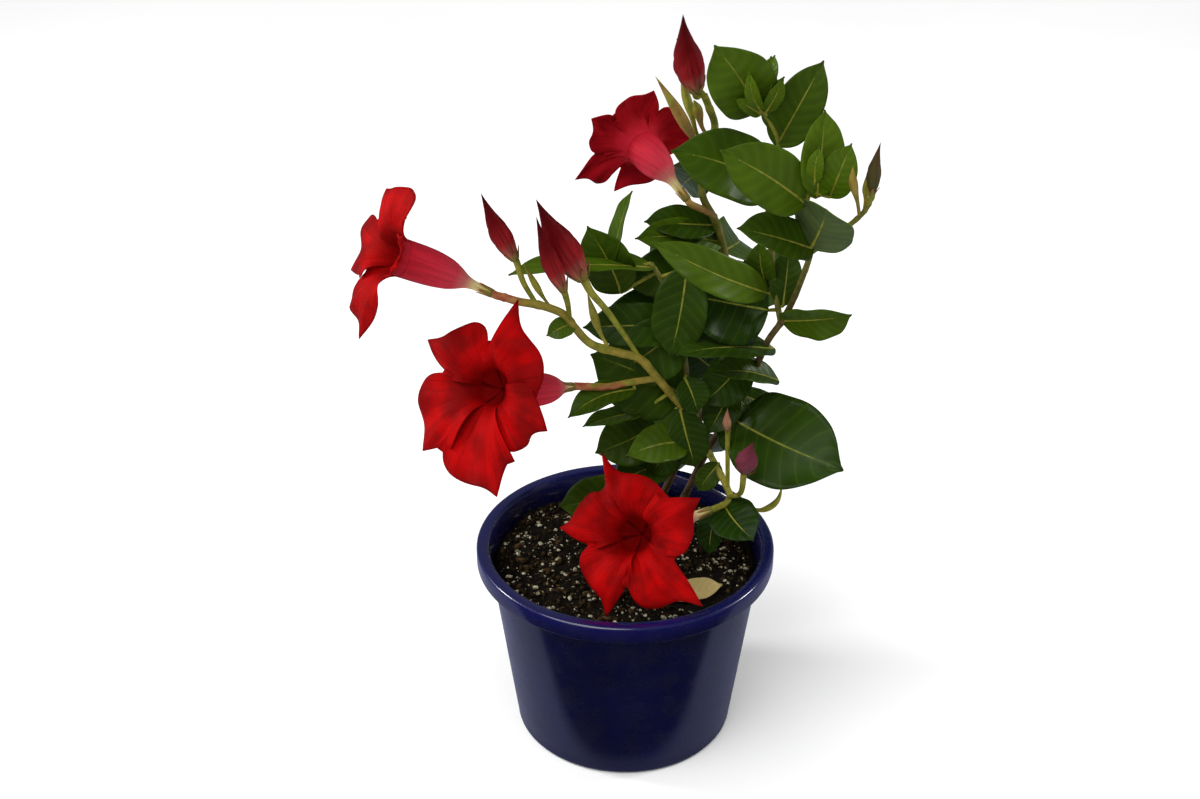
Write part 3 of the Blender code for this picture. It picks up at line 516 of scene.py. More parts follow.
def effect_group(name, inputs, outputs):
    """An empty shader group with named inputs and outputs of the given types."""
    tree = bpy.data.node_groups.new(name, "ShaderNodeTree")
    for way, sockets in (("INPUT", inputs), ("OUTPUT", outputs)):
        for label, kind in sockets.items():
            tree.interface.new_socket(label, in_out=way, socket_type="NodeSocket" + kind)
    nodes = Nodes(tree)
    return tree, nodes, nodes.add("NodeGroupInput").outputs, nodes.add("NodeGroupOutput").inputs


def vein_group():
    """Masks of a leaf's midrib and side veins from its UV: u across, v from base to tip."""
    tree, nodes, given, result = effect_group(
        "leaf_veins", {"UV": "Vector"}, {"Midrib": "Float", "Veins": "Float", "Quilt": "Float"})
    across, along, _ = nodes.parts(given["UV"])
    away = nodes.math("ABSOLUTE", nodes.math("SUBTRACT", across, 0.5))
    sweep = nodes.math("MULTIPLY", nodes.math("POWER", away, VEIN_CURVE), VEIN_SWEEP)
    phase = nodes.math("SUBTRACT", nodes.math("MULTIPLY", along, SIDE_VEINS), sweep)
    wave = nodes.math("PINGPONG", phase, 0.5)
    nodes.link(nodes.range(away, 0.008, 0.028, 1.0, 0.0), result["Midrib"])
    nodes.link(nodes.range(wave, 0.03, 0.11, 1.0, 0.0), result["Veins"])
    nodes.link(nodes.range(wave, 0.0, 0.5), result["Quilt"])
    return tree


def mottle_group():
    """A colour that wanders between two tones in soft patches."""
    tree, nodes, given, result = effect_group(
        "mottle", {"Vector": "Vector", "Scale": "Float", "First": "Color", "Second": "Color"}, {"Color": "Color"})
    amount = nodes.range(nodes.noise(given["Vector"], given["Scale"], 4.0), 0.32, 0.68)
    nodes.link(nodes.mix(amount, given["First"], given["Second"]), result["Color"])
    return tree


VEINS = vein_group()
MOTTLE = mottle_group()


def new_material(name, roughness, **constants):
    """The nodes of a new material, and the places and UV that its patterns read."""
    made = bpy.data.materials.new(name)
    made.use_nodes = True
    nodes = Nodes(made.node_tree, made)
    for label, value in {"Roughness": roughness, **constants}.items():
        nodes.shader.inputs[label.replace("_", " ")].default_value = value
    coordinates = nodes.add("ShaderNodeTexCoord").outputs
    return nodes, coordinates["Object"], coordinates["UV"]


def leaf_material(name, dark, bright, rib, roughness, coat, shine):
    """A blade that is darker between its veins and paler along them."""
    nodes, place, uv = new_material(name, roughness, Coat_Weight=coat, Coat_Roughness=0.25,
                                    Specular_IOR_Level=shine)
    veins = nodes.add("ShaderNodeGroup", {"UV": uv}, node_tree=VEINS).outputs
    deep = nodes.mottled(place, LEAF_PATCHES, dark, scaled(dark, 1.6))
    fresh = nodes.mottled(place, LEAF_PATCHES, bright, scaled(bright, 1.3))
    # Each leaf's tone, partly painted light and shade, chooses between the dark and bright greens
    body = nodes.mix(nodes.attribute("tone"), deep, fresh)
    for mask, share, tint in (("Quilt", 0.12, scaled(dark, 0.5)), ("Veins", 0.13, rib), ("Midrib", 0.27, rib)):
        body = nodes.mix(nodes.math("MULTIPLY", veins[mask], share), body, tint)
    gloss = nodes.range(nodes.noise(place, 130.0), 0.3, 0.7, roughness - 0.06, roughness + 0.12)
    nodes.link(gloss, nodes.shader.inputs["Roughness"])
    height = nodes.math("ADD", nodes.math("MULTIPLY", veins["Quilt"], 0.5),
                        nodes.math("MULTIPLY", nodes.noise(place, 900.0), 0.2))
    return nodes.finish(body, height, 0.30, 0.0005)


def stem_material():
    """Green when young, brown and barky when old, reddish where a bloom is near."""
    nodes, place, _ = new_material("stem", 0.5, Specular_IOR_Level=0.15)
    green = nodes.mottled(place, 220.0, (0.13, 0.155, 0.012), (0.26, 0.25, 0.030))
    brown = nodes.mottled(place, 320.0, (0.040, 0.026, 0.012), (0.10, 0.060, 0.026))
    red = nodes.mottled(place, 300.0, (0.30, 0.060, 0.030), (0.36, 0.16, 0.060))
    age = nodes.range(nodes.attribute("age"), 0.15, 0.75)
    wander = nodes.range(nodes.noise(place, 60.0, 2.0), 0.32, 0.48)
    blush = nodes.math("MULTIPLY", nodes.attribute("tone"), wander, clamp=True)
    body = nodes.mix(blush, nodes.mix(age, green, brown), red)
    return nodes.finish(body, nodes.noise(place, 1400.0), 0.4, 0.0005)


def petal_material(name, deep, bright, edge, middle, roughness):
    """A velvety lobe with fine creases from the throat to the edge, darkened along the creases as painted shade,
    and another tone by the throat: on the face a darker red that is painted shade going down into the throat, on
    the back a paler pink of its own.
    """
    nodes, place, uv = new_material(name, roughness, Specular_IOR_Level=0.04)
    creases = nodes.streaks(uv, 24.0, 1.8, 0.55)
    along = nodes.parts(uv)[1]
    body = nodes.mottled(place, 60.0, deep, bright)
    body = nodes.mix(nodes.range(along, 0.86, 1.0, 0.0, 0.4), body, edge)
    # Painted shade: the lobe is darkened along its creases
    body = nodes.mix(nodes.range(creases, 0.33, 0.58, 0.26, 0.0), body, scaled(deep, 0.40))
    # On the face the darker red by the throat is painted shade; on the back the paler pink is its own colour
    body = nodes.mix(nodes.range(along, 0.10, 0.60, 0.75, 0.0), body, middle)
    return nodes.finish(body, creases, 0.45, 0.0010)


def funnel_material(name, stops, roughness, shine=0.20, streak=0.30):
    """Colours that change from the narrow base of a bloom or bud to its mouth."""
    nodes, _, uv = new_material(name, roughness, Specular_IOR_Level=shine)
    streaks = nodes.streaks(uv, 30.0, 1.6, 0.6)
    wander = nodes.math("MULTIPLY", nodes.math("SUBTRACT", streaks, 0.5), 0.22)
    body = nodes.ramp(nodes.math("ADD", nodes.parts(uv)[1], wander), stops)
    dim = nodes.range(streaks, 0.38, 0.60, streak, 0.0)
    return nodes.finish(nodes.mix(dim, body, STREAK_TONE), streaks, 0.4, 0.0008)


def pot_material():
    """Glossy dark blue moulded plastic with faint scuffs and a little dust; the top of the rim is painted a
    brighter blue, a painted highlight where the light falls on it.
    """
    nodes, place, _ = new_material("pot_plastic", 0.3, Coat_Weight=0.65, Coat_Roughness=0.08)
    wall = nodes.mottled(place, 18.0, (0.0010, 0.0012, 0.021), (0.0015, 0.0018, 0.033))
    # Painted highlight: the wall's blue turns brighter on the top of the rim
    blue = nodes.mix(nodes.range(nodes.parts(place)[2], *RIM_PAINTED_HIGHLIGHT_HEIGHTS), wall, RIM_PAINTED_HIGHLIGHT)
    dust = nodes.range(nodes.noise(place, 420.0, 6.0, 0.7), 0.66, 0.80, 0.0, 0.14)
    gloss = nodes.range(nodes.noise(place, 90.0, 5.0, 0.6), 0.3, 0.7, 0.17, 0.32)
    nodes.link(gloss, nodes.shader.inputs["Roughness"])
    return nodes.finish(nodes.mix(dust, blue, DUST_TONE), nodes.noise(place, 500.0), 0.05, 0.0003)


def grain_material(name, first, second, scale, roughness, relief):
    """Rough potting mix, bark or perlite, mottled between two tones."""
    nodes, place, _ = new_material(name, roughness, Specular_IOR_Level=0.08)
    lumps = nodes.noise(place, scale * 2.5, 5.0, 0.7)
    return nodes.finish(nodes.mottled(place, scale, first, second), lumps, relief, 0.001)


def make_materials():
    return {
        "leaf": leaf_material("leaf_face", (0.0085, 0.0250, 0.0014), (0.072, 0.126, 0.0036),
                              (0.085, 0.135, 0.010), 0.34, 0.03, 0.095),
        "leaf_back": leaf_material("leaf_underside", (0.028, 0.052, 0.014), (0.060, 0.092, 0.026),
                                   (0.12, 0.15, 0.05), 0.55, 0.0, 0.25),
        "stem": stem_material(),
        # The face's darker red by the throat is painted shade
        "petal": petal_material("petal_face", (0.18, 0.0002, 0.0004), (0.42, 0.0003, 0.0007),
                                (0.15, 0.0003, 0.001), (0.10, 0.0001, 0.0003), 0.62),
        "petal_back": petal_material("petal_back", (0.23, 0.002, 0.005), (0.34, 0.004, 0.010),
                                     (0.24, 0.003, 0.009), (0.46, 0.018, 0.036), 0.6),
        "funnel": funnel_material("funnel_outside", (
            (0.0, (0.22, 0.13, 0.04)), (0.10, (0.46, 0.38, 0.09)), (0.22, (0.66, 0.56, 0.26)),
            (0.33, (0.58, 0.17, 0.15)), (0.46, (0.55, 0.038, 0.062)), (0.70, (0.50, 0.018, 0.038)),
            (1.0, (0.42, 0.008, 0.018))), 0.5, 0.06),
        "throat": funnel_material("funnel_inside", (
            (0.0, (0.20, 0.10, 0.02)), (0.40, (0.16, 0.01, 0.004)), (0.70, (0.14, 0.001, 0.002)),
            (1.0, (0.22, 0.001, 0.002))), 0.6),
        "bud_red": funnel_material("bud_red", (
            (0.0, (0.14, 0.17, 0.025)), (0.07, (0.26, 0.22, 0.06)), (0.15, (0.34, 0.10, 0.07)),
            (0.30, (0.30, 0.012, 0.014)), (0.58, (0.13, 0.0010, 0.0020)), (1.0, (0.040, 0.0008, 0.001))),
            0.45, 0.05, 0.6),
        "bud_green": funnel_material("bud_green", (
            (0.0, (0.055, 0.070, 0.012)), (0.5, (0.070, 0.055, 0.014)), (1.0, (0.060, 0.026, 0.010))), 0.5),
        "bud_pale": funnel_material("bud_pale", (
            (0.0, (0.20, 0.21, 0.06)), (0.4, (0.42, 0.22, 0.12)), (1.0, (0.42, 0.14, 0.10))), 0.5),
        "bud_spent": funnel_material("bud_spent", (
            (0.0, (0.12, 0.09, 0.06)), (0.4, (0.15, 0.025, 0.045)), (1.0, (0.10, 0.008, 0.02))), 0.6),
        "sepal": funnel_material("sepal", (
            (0.0, (0.16, 0.17, 0.03)), (0.5, (0.24, 0.15, 0.04)), (1.0, (0.26, 0.06, 0.03))), 0.5),
        "pot": pot_material(),
        "soil": grain_material("potting_mix", (0.0018, 0.0014, 0.0010), (0.010, 0.0070, 0.0040), 420.0, 0.95,
                               1.0),
        "crumb": grain_material("soil_crumbs", (0.0025, 0.0018, 0.0012), (0.048, 0.030, 0.010), 500.0, 0.95, 0.8),
        "bark": grain_material("bark_chips", (0.022, 0.012, 0.005), (0.085, 0.048, 0.020), 380.0, 0.9, 0.8),
        "perlite": grain_material("perlite", (0.17, 0.15, 0.09), (0.60, 0.56, 0.40), 600.0, 0.85, 0.7),
        "dead_leaf": leaf_material("dead_leaf", (0.30, 0.22, 0.075), (0.42, 0.33, 0.13), (0.42, 0.30, 0.12),
                                   0.6, 0.0, 0.3),
    }


# Plant


def bloom_axis(bloom):
    """Centre and direction along a bloom's bent funnel, as a function of the share of its length."""
    base, throat, facing = seen(*bloom[0]), seen(*bloom[1]), viewed(*bloom[2])
    middle = throat - facing * (0.45 * (throat - base).length)

    def at(share):
        centre = base * (1 - share) ** 2 + middle * (2 * share * (1 - share)) + throat * share ** 2
        heading = ((middle - base) * (1 - share) + (throat - middle) * share).normalized()
        return centre, heading

    return at


def around(heading, angle):
    """The direction out from an axis at an angle from the photograph's up."""
    upward = (UPWARD - heading * UPWARD.dot(heading)).normalized()
    return upward * cos(angle) + heading.cross(upward) * sin(angle)


def stem_route(name, points):
    """A stem's route, with its foot in the soil or its end turned into the base of the bloom that it bears."""
    places = [seen(*point) for point in points]
    if name in BEARERS:
        start, heading = bloom_axis(BLOOMS[BEARERS[name]])(0.0)
        return smooth_path(places + [start - heading * JOINT_LENGTH, start])
    if name in ROOTS:
        x, y = ROOTS[name]
        foot = [Vector((x, y, SOIL_TOP + height)) for height in ROOT_HEIGHTS]
        return foot[:-1] + smooth_path([foot[-1], *places])
    return smooth_path(places)


def nearest(routes, place):
    """The point of the stems that is nearest to a place."""
    spots = []
    for route in routes:
        for start, finish in zip(route, route[1:]):
            line = finish - start
            share = min(1.0, max(0.0, (place - start).dot(line) / line.length_squared))
            spots.append(start + line * share)
    return min(spots, key=lambda spot: (spot - place).length)


def leaf_frame(base, tip, roll):
    """Directions along a leaf, across it, and out of its upper face; roll 0 faces the eye."""
    along = (tip - base).normalized()
    across = along.cross(EYE - (base + tip) / 2).normalized()
    face = across.cross(along)
    turn = radians(roll)
    return along, across * cos(turn) + face * sin(turn), face * cos(turn) - across * sin(turn)


def add_leaf(blades, stalks, leaf, routes):
    """One blade, quilted between its side veins, with its stalk running on as a rib underneath."""
    base_spot, tip_spot, width, roll, arch, tone = leaf
    base, tip = seen(*base_spot), seen(*tip_spot)
    along, across, face = leaf_frame(base, tip, roll)
    length = (tip - base).length
    wave = DICE.uniform(0.0, tau)
    sway = DICE.uniform(-LEAF_SWAY, LEAF_SWAY) * length
    fold = DICE.uniform(*LEAF_FOLD)

    def middle(v):
        return (base + along * (length * v) + across * (sway * sin(pi * v))
                + face * (arch * sin(pi * v) - TIP_DROOP * length * max(0.0, v - DROOP_START)))

    def place(u, v):
        side = 2.0 * u - 1.0
        half = width / 2 * eased(LEAF_OUTLINE, v)
        away = abs(side)
        phase = SIDE_VEINS * v - VEIN_SWEEP * (away / 2) ** VEIN_CURVE
        quilt = abs(sin(pi * phase)) * away * (1.0 - away) * QUILT_RISE * min(1.0, width / BROAD_LEAF)
        shift = wave + (2.0 if side > 0 else 0.0)
        ruffle = RUFFLE_SHARE * half * away ** 2 * sin(5.0 * pi * v + shift)
        groove = MIDRIB_GROOVE * exp(-(away * 9.0) ** 2)
        lift = fold * half * away ** 1.6 + quilt + ruffle - groove
        return middle(v) + across * (half * side) + face * lift

    # The blade's tone holds painted light and shade as well as its own green
    sheet(blades, LEAF_COLUMNS, LEAF_ROWS, place, tone)
    stalk = [middle(v) - face * RIB_DEPTH for v in RIB_STATIONS]
    start = nearest(routes, base)
    if (start - base).length >= LEAST_STALK:
        stalk.insert(0, base.lerp(start, 0.45) - face * 0.3)
    stalk.insert(0, start)
    swept(stalks, smooth_path(stalk, 3), lambda v: STALK_RADIUS - STALK_TAPER * v, 8, 0.0, lambda v: 0.12)


def build_vines(looks):
    """The stems of each vine with its green buds, and its leaves on their stalks."""
    blade_shells = {vine: new_shell() for vine in LEAVES}
    stem_shells = {vine: new_shell() for vine in LEAVES}
    routes = {vine: [] for vine in LEAVES}
    for name, (vine, foot, end, old, young, blush, points) in STEMS.items():
        route = stem_route(name, points)
        routes[vine].append(route)
        knots = DICE.uniform(0.0, 1.0)

        def radius(v):
            swelling = KNOT_SWELLING * max(0.0, cos(tau * (KNOTS * v + knots))) ** 12
            return (foot + (end - foot) * v) * (1.0 + swelling)

        length = sum((finish - start).length for start, finish in zip(route, route[1:]))

        def redness(v):
            return blush * min(1.0, max(LEAST_BLUSH, (BLUSH_REACH - length * (1.0 - v)) / BLUSH_FADE))

        swept(stem_shells[vine], route, radius, STEM_SIDES, redness, lambda v: old + (young - old) * v)
    for base_spot, tip_spot, width, _, vine, points in BUDS.values():
        base, tip = seen(*base_spot), seen(*tip_spot)
        heading = (tip - base).normalized()
        ending = [base - heading * JOINT_LENGTH, base + heading * 0.5]
        route = smooth_path([seen(*point) for point in points] + ending)
        swell = width / 12.0
        swept(stem_shells[vine], route, lambda v: 1.0 + 0.9 * swell * v, STALK_SIDES, 0.05,
              lambda v: 0.05)
    for vine, points, thickness, blush in GREEN_BUDS:
        route = smooth_path([seen(*point) for point in points])
        swept(stem_shells[vine], route, lambda v: thickness * eased(GREEN_BUD_OUTLINE, v), STALK_SIDES, blush,
              lambda v: 0.1)
    for vine, leaves in LEAVES.items():
        for leaf in leaves:
            add_leaf(blade_shells[vine], stem_shells[vine], leaf, routes[vine])
        node = "mandevilla_vine_" + vine
        finishes = (looks["leaf"], looks["leaf_back"])
        finish_piece("leaves_" + vine, blade_shells[vine], finishes, (node,), LEAF_THICKNESS)
        finish_piece("stems_" + vine, stem_shells[vine], (looks["stem"],), (node,))


def lobe_angle(lobes, lobe, part):
    """Degrees at a share of one lobe; its notches lie a little past the tips on each side."""
    before = lobes[lobe - 1][0] - (360.0 if lobe == 0 else 0.0)
    tip = lobes[lobe][0]
    after = lobes[(lobe + 1) % 5][0] + (360.0 if lobe == 4 else 0.0)
    first_notch = before + (tip - before) * (1.0 - LOBE_TIP)
    last_notch = tip + (after - tip) * (1.0 - LOBE_TIP)
    if part <= LOBE_TIP:
        return first_notch + (tip - first_notch) * part / LOBE_TIP
    return tip + (last_notch - tip) * (part - LOBE_TIP) / (1.0 - LOBE_TIP)


def build_bloom(name, looks):
    """A funnel with five lobes that overlap like a pinwheel, and small sepals round its base."""
    bloom = BLOOMS[name]
    spread, folded_lobe, lobes = bloom[3:]
    at = bloom_axis(bloom)
    node = "mandevilla_bloom_" + name
    mouth = 1.0 - FUNNEL_SHORTFALL / (0.9 * (seen(*bloom[1]) - seen(*bloom[0])).length)
    funnel = new_shell()

    def funnel_place(u, v):
        centre, heading = at(mouth * v ** spread)
        angle = tau * u
        ridges = 1.0 + FUNNEL_RIDGES * v * (1.0 - v) * cos(5.0 * angle + 3.0 * v)
        return centre + around(heading, angle) * (eased(FUNNEL, v) * ridges)

    sheet(funnel, FUNNEL_COLUMNS, FUNNEL_ROWS, funnel_place)
    bmesh.ops.remove_doubles(funnel, verts=funnel.verts[:], dist=JOIN_GAP)
    finish_piece("funnel_" + name, funnel, (looks["funnel"], looks["throat"]), (node,), PETAL_THICKNESS)

    petals = new_shell()
    centre, heading = at(1.0)
    for lobe, (_, reach, slimness, first_notch) in enumerate(lobes):
        last_notch = lobes[(lobe + 1) % 5][3]
        fullness = min(1.0, reach / LONG_LOBE)
        wobble = DICE.uniform(0.0, tau)
        curl = DICE.uniform(*LOBE_CURL)
        crease = FOLDED_CREASE if lobe == folded_lobe else LOBE_CREASE

        def petal_place(u, v):
            part = u * (1.0 + 2.0 * LOBE_OVERLAP) - LOBE_OVERLAP
            angle = radians(lobe_angle(lobes, lobe, part))
            inside = min(1.0, max(0.0, part))
            peak = max(0.0, eased(LOBE_SHOULDER if inside <= LOBE_TIP else LOBE_FALL, inside)) ** slimness
            notch = first_notch * (1.0 - inside) + last_notch * inside
            outline = max(THROAT_RADIUS + LEAST_FLARE, reach * (notch + (1.0 - notch) * peak))
            out = max(0.0, (v - THROAT_SHARE) / (1.0 - THROAT_SHARE))
            down = max(0.0, 1.0 - v / THROAT_SHARE)
            radius = THROAT_RADIUS - (THROAT_RADIUS - THROAT_BOTTOM_RADIUS) * down ** 1.5
            radius += (outline - THROAT_RADIUS) * out ** 1.25
            sway = out ** 2 * fullness
            lean = LOBE_LEAN * fullness * (u - 0.5) * sin(pi * min(1.0, out * 1.15))
            slow, quick = sin(2.6 * pi * u + wobble), sin(7.0 * pi * u + wobble)
            ruffle = sway * (1.5 * slow + 0.5 * quick)
            ridge = crease * sin(pi * out) * exp(-((u - 0.62) * 5.0) ** 2)
            arch = LOBE_ARCH * fullness * sin(2.2 * out)
            lift = arch + lean + ruffle + ridge - curl * sway * (0.4 + peak) * out
            depth = FLARE_DEPTH * exp(-6.0 * out) + (THROAT_DEPTH - FLARE_DEPTH) * down
            return centre + around(heading, angle) * radius + heading * (lift - depth)

        sheet(petals, LOBE_COLUMNS, LOBE_ROWS, petal_place)
    bmesh.ops.reverse_faces(petals, faces=petals.faces[:])
    finishes = (looks["petal"], looks["petal_back"])
    finish_piece("petals_" + name, petals, finishes, (node,), PETAL_THICKNESS)

    build_calyx("sepals_" + name, looks, at, lambda share: eased(FUNNEL, share ** (1.0 / spread)) + 0.2, 0.12)


def build_calyx(name, looks, at, girth, share):
    """Five narrow sepals that hug the base of a bloom or a bud."""
    shell = new_shell()
    for number in range(SEPALS):
        turn = tau * (number + 0.3) / SEPALS

        def place(u, v):
            spot, way = at(share * v)
            half = 0.52 * (1.0 - v) ** 0.75 + 0.02
            return spot + around(way, turn + (2.0 * u - 1.0) * half) * (girth(share * v) + 0.35 * v * v)

        sheet(shell, 4, 8, place)
    finish_piece(name, shell, (looks["sepal"],), (), SEPAL_THICKNESS)


def build_bud(name, looks):
    """A furled bud, whose folded petals wind round it in shallow spiral ridges."""
    base_spot, tip_spot, width, finish, _, _ = BUDS[name]
    base, tip = seen(*base_spot), seen(*tip_spot)
    bend = (tip - base).cross(UPWARD).normalized() * (BUD_BEND * (tip - base).length)
    shares = [step / BUD_STEPS for step in range(BUD_STEPS + 1)]
    route = [base.lerp(tip, share) + bend * sin(pi * share) for share in shares]
    shell = new_shell()

    def relief(angle, v):
        turn = angle - BUD_TWIST * v
        return 1.0 + BUD_RIDGES * min(1.0, v * 2.0) * (1.0 - v) * (abs(sin(2.5 * turn)) ** 0.5 - 0.8)

    swept(shell, route, lambda v: width / 2 * eased(BUD_OUTLINE, v), BUD_SIDES, 0.0, None, relief)
    finish_piece("bud_" + name, shell, (looks["bud_" + finish],), ("mandevilla_bud_" + name,))
    heading = (tip - base).normalized()
    build_calyx("bud_sepals_" + name, looks, lambda share: (base.lerp(tip, share), heading),
                lambda share: width / 2 * eased(BUD_OUTLINE, share) * 1.06 + 0.1, 0.15)


# Pot and soil


def wall_radius(height):
    return BASE_RADIUS + (WALL_TOP_RADIUS - BASE_RADIUS) * height / (POT_HEIGHT - RIM_BAND)


def arc(centre, radius, first, last, steps):
    """Points of an arc in the profile plane, between two angles in degrees."""
    points = []
    for step in range(steps + 1):
        angle = radians(first + (last - first) * step / steps)
        points.append((centre[0] + radius * cos(angle), centre[1] + radius * sin(angle)))
    return points


def spun(shell, profile, steps, closed):
    """Turn a profile of (radius, height) in millimetres about Z."""
    corners = [shell.verts.new((radius * MM, 0.0, height * MM)) for radius, height in profile]
    pairs = list(zip(corners, corners[1:] + (corners[:1] if closed else [])))
    edges = [shell.edges.new(pair) for pair in pairs[:len(pairs) if closed else len(corners) - 1]]
    bmesh.ops.spin(shell, geom=corners + edges, axis=(0, 0, 1), cent=(0, 0, 0), angle=tau, steps=steps,
                   use_merge=True)
    bmesh.ops.remove_doubles(shell, verts=shell.verts[:], dist=SPIN_JOIN_GAP)


def build_pot(looks):
    """The pot, spun from its profile, with a rim that turns down over a hollow, and its drain holes."""
    under_rim = POT_HEIGHT - RIM_BAND
    lip_inside = RIM_RADIUS - LIP
    hollow = POT_HEIGHT - HOLLOW_DEPTH
    profile = [(RIM_OPENING, POT_HEIGHT)]
    profile += arc((RIM_RADIUS - RIM_EDGE, POT_HEIGHT - RIM_EDGE), RIM_EDGE, 90, 0, 5)
    profile += arc((RIM_RADIUS - RIM_FOOT, under_rim + RIM_FOOT), RIM_FOOT, 0, -90, 3)
    profile += arc((lip_inside + LIP_FOOT, under_rim + LIP_FOOT), LIP_FOOT, -90, -180, 3)
    profile += arc((lip_inside - HOLLOW_CORNER, hollow), HOLLOW_CORNER, 0, 90, 3)
    profile += arc((WALL_TOP_RADIUS + HOLLOW_CORNER, hollow), HOLLOW_CORNER, 90, 180, 3)
    profile += [(WALL_TOP_RADIUS, under_rim)]
    profile += [(wall_radius(height), height) for height in (60.0, 30.0, 8.0)]
    profile += arc((wall_radius(HEEL) - HEEL, HEEL), HEEL, 10, -90, 6)
    profile += [(24.0, 0.0), (0.0, 0.0), (0.0, FLOOR), (24.0, FLOOR)]
    profile += arc((wall_radius(FLOOR) - WALL - HEEL, FLOOR + HEEL), HEEL, -90, 0, 4)
    profile += [(wall_radius(height) - WALL, height) for height in (30.0, 60.0, under_rim)]
    profile += [(RIM_OPENING - 1.8, POT_HEIGHT - 2.4), (RIM_OPENING - 1.2, POT_HEIGHT - 1.0),
                (RIM_OPENING - 0.5, POT_HEIGHT - 0.25)]
    shell = new_shell()
    spun(shell, profile, POT_STEPS, True)
    pot = finish_piece("pot", shell, (looks["pot"],), ("mandevilla_pot",))
    holes = bmesh.new()
    for number in range(DRAIN_HOLES):
        angle = tau * (number + 0.5) / DRAIN_HOLES
        made = bmesh.ops.create_cone(holes, cap_ends=True, segments=32, radius1=DRAIN_HOLE_RADIUS * MM,
                                     radius2=DRAIN_HOLE_RADIUS * MM, depth=3 * FLOOR * MM)
        spot = Vector((DRAIN_CIRCLE_RADIUS * cos(angle), DRAIN_CIRCLE_RADIUS * sin(angle), FLOOR / 2))
        bmesh.ops.translate(holes, verts=made["verts"], vec=spot * MM)
    cutter = placed("drain_holes", mesh_of("drain_holes", holes))
    cut = pot.modifiers.new("drain_holes", "BOOLEAN")
    cut.operation = "DIFFERENCE"
    cut.object = cutter
    bpy.context.view_layer.update()
    settled = bpy.data.meshes.new_from_object(pot.evaluated_get(bpy.context.evaluated_depsgraph_get()))
    pot.modifiers.clear()
    pot.data = settled
    pot.data.set_sharp_from_angle(angle=SHARP_ANGLE)
    bpy.data.objects.remove(cutter, do_unlink=True)


def soil_height(x, y):
    """Height of the soil's broad lumps, which level out under the fallen leaf."""
    lumps = noise.noise(Vector((x, y, 0.0)) / 7.0) + 0.6 * noise.noise(Vector((x, y, 9.0)) / 16.0)
    distance = hypot(x - DEAD_LEAF_SPOT[0], y - DEAD_LEAF_SPOT[1])
    calm = min(1.0, max(0.0, distance / DEAD_LEAF_CLEARING - 1.0))
    return SOIL_TOP + SOIL_ROUGHNESS * lumps * calm


def soil_surface(x, y):
    """The lumpy soil with its fine crumbs."""
    fine = noise.noise(Vector((x, y, 4.0)) / 1.9) * 0.7 + noise.noise(Vector((x, y, 6.0)) / 0.9) * 0.35
    return soil_height(x, y) + fine - 0.3


def build_soil(looks):
    """A body of soil that fills the pot, with a lumpy top strewn with grains."""
    inset = WALL + SOIL_GAP
    outer = wall_radius(SOIL_TOP) - inset
    bottom = FLOOR + SOIL_GAP
    profile = [(outer * ring / SOIL_RINGS, SOIL_TOP) for ring in range(SOIL_RINGS + 1)]
    profile += [(wall_radius(SOIL_SHOULDER) - inset, SOIL_SHOULDER), (BASE_RADIUS - SOIL_FOOT_INSET, bottom),
                (0.0, bottom)]
    shell = new_shell()
    spun(shell, profile, SOIL_STEPS, False)
    for corner in shell.verts:
        if corner.co.z > (SOIL_TOP - 1.0) * MM:
            corner.co.z = soil_surface(corner.co.x / MM, corner.co.y / MM) * MM
    finish_piece("soil", shell, (looks["soil"],), ("mandevilla_soil",))
    for name, (finish, *numbers) in GRAINS.items():
        scatter(name, looks[finish], *numbers)


def clear_of_stems(x, y):
    return all(hypot(x - root_x, y - root_y) > STEM_CLEARING for root_x, root_y in ROOTS.values())


def scatter(name, finish, count, sizes, stretch, rise):
    """Small lumps strewn over the soil, each about half sunk in it."""
    shell = new_shell()
    reach = wall_radius(SOIL_TOP) - WALL - 2.5
    for _ in range(count):
        distance, angle = reach * sqrt(DICE.random()), DICE.uniform(0.0, tau)
        x, y = distance * cos(angle), distance * sin(angle)
        size = DICE.uniform(0.0, 1.0) ** 3 * (sizes[1] - sizes[0]) + sizes[0]
        near_leaf = hypot(x - DEAD_LEAF_SPOT[0], y - DEAD_LEAF_SPOT[1]) < GRAIN_CLEARING
        if near_leaf or not clear_of_stems(x, y):
            continue
        made = bmesh.ops.create_icosphere(shell, subdivisions=1, radius=size * MM)["verts"]
        for corner in made:
            corner.co *= 1.0 + 0.7 * noise.noise(corner.co / MM * 1.1 + Vector((x, y, 0.0)))
        squeeze = Matrix.Diagonal((stretch[0], 1.0, stretch[1], 1.0))
        turn = Matrix.Rotation(DICE.uniform(0.0, tau), 4, "Z")
        tilt = Matrix.Rotation(DICE.uniform(-0.5, 0.5), 4, "X")
        spot = Vector((x, y, soil_surface(x, y) + size * rise))
        bmesh.ops.transform(shell, matrix=Matrix.Translation(spot * MM) @ turn @ tilt @ squeeze, verts=made)
    finish_piece(name, shell, (finish,), ())


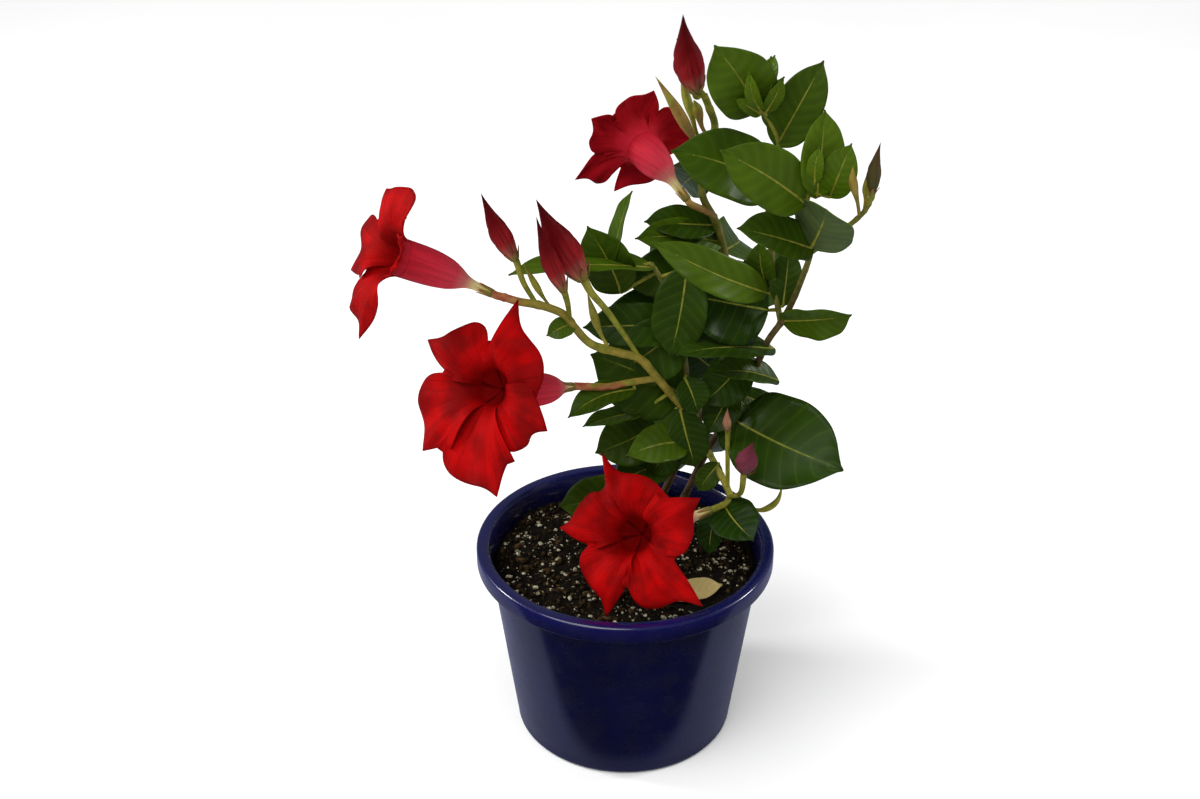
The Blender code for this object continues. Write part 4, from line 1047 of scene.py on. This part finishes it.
def build_dead_leaf(looks):
    """The fallen leaf, curled and crumpled on the soil."""
    length, width = DEAD_LEAF_SIZE
    shell = new_shell()

    def place(u, v):
        side = 2.0 * u - 1.0
        half = width / 2 * eased(LEAF_OUTLINE, v)
        curl = 3.0 * (half * side / width) ** 2 + 5.0 * max(0.0, v - 0.6) ** 2
        crumple = 0.5 + 0.5 * noise.noise(Vector((u * 5.0, v * 5.0, 3.0)))
        x = DEAD_LEAF_SPOT[0] + length * (v - 0.5)
        y = DEAD_LEAF_SPOT[1] + half * side + 0.25 * length * (v - 0.5)
        return Vector((x, y, SOIL_TOP + 0.5 + curl + crumple * (0.3 + 1.2 * abs(side) * v)))

    sheet(shell, 16, 26, place, 0.6)
    bmesh.ops.reverse_faces(shell, faces=shell.faces[:])
    finish_piece("dead_leaf", shell, (looks["dead_leaf"],), ("mandevilla_dead_leaf",),
                 DEAD_LEAF_THICKNESS)


# Stage


def face_from(thing, side):
    """Turn a lamp to shine from a side."""
    thing.rotation_euler = Vector(side).to_track_quat("Z", "Y").to_euler()


def build_sky():
    """A white sky, brighter to the camera and dimmer in mirror images."""
    world = bpy.data.worlds.new("studio")
    world.use_nodes = True
    sky = world.node_tree.nodes["Background"]
    sky.inputs["Color"].default_value = (1.0, 1.0, 1.0, 1.0)
    rays = Nodes(world.node_tree)
    path = rays.add("ShaderNodeLightPath").outputs
    straight = rays.math("MULTIPLY_ADD", path["Is Camera Ray"], SKY_SEEN_MORE, SKY_LIGHT)
    mirrored = rays.math("MULTIPLY", path["Is Glossy Ray"], SKY_LIGHT * SKY_MIRRORED_LESS)
    rays.link(rays.math("SUBTRACT", straight, mirrored), sky.inputs["Strength"])
    bpy.context.scene.world = world


def build_lights():
    sun = bpy.data.lights.new("daylight", "SUN")
    sun.angle = SUN_SPREAD
    sun.energy = SUN_STRENGTH
    face_from(placed("daylight", sun), SUN_SIDE)
    for name, (place, power) in LAMPS.items():
        light = bpy.data.lights.new(name, "AREA")
        light.shape = "DISK"
        light.size = LAMP_SIZE
        light.energy = power
        lamp = placed(name, light)
        lamp.location = place
        face_from(lamp, Vector(place) - Vector(LAMP_AIM))


def build_floor():
    shell = bmesh.new()
    bmesh.ops.create_grid(shell, x_segments=1, y_segments=1, size=FLOOR_REACH)
    mesh = mesh_of("floor", shell)
    nodes, place, _ = new_material("floor", 0.7, Specular_IOR_Level=0.1)
    # Painted reflection: glossy rays see this darker floor, darkest in a band in front of the pot, which shows on
    # the pot as a dark front and lighter sides
    mirrored = nodes.mix(nodes.range(nodes.parts(place)[1], *MIRRORED_EDGE), *MIRRORED_TONES)
    glossy_ray = nodes.add("ShaderNodeLightPath").outputs["Is Glossy Ray"]
    tone = nodes.mix(glossy_ray, nodes.mottled(place, 3.0, *FLOOR_TONES), mirrored)
    nodes.link(tone, nodes.shader.inputs["Base Color"])
    mesh.materials.append(nodes.material)
    floor = placed("floor", mesh)


def build_camera():
    lens = bpy.data.cameras.new("camera")
    lens.lens = LENS
    lens.sensor_width = SENSOR
    lens.sensor_fit = "HORIZONTAL"
    lens.clip_start = NEAR_CLIP
    camera = placed("camera", lens)
    camera.location = EYE * MM
    camera.rotation_euler = (pi / 2 - EYE_PITCH, 0.0, 0.0)
    bpy.context.scene.camera = camera


def main():
    bpy.context.scene.view_settings.view_transform = "Standard"
    build_camera()
    build_sky()
    build_lights()
    build_floor()
    looks = make_materials()
    build_pot(looks)
    build_soil(looks)
    build_vines(looks)
    for name in BLOOMS:
        build_bloom(name, looks)
    for name in BUDS:
        build_bud(name, looks)
    build_dead_leaf(looks)
    bpy.context.view_layer.update()


main()
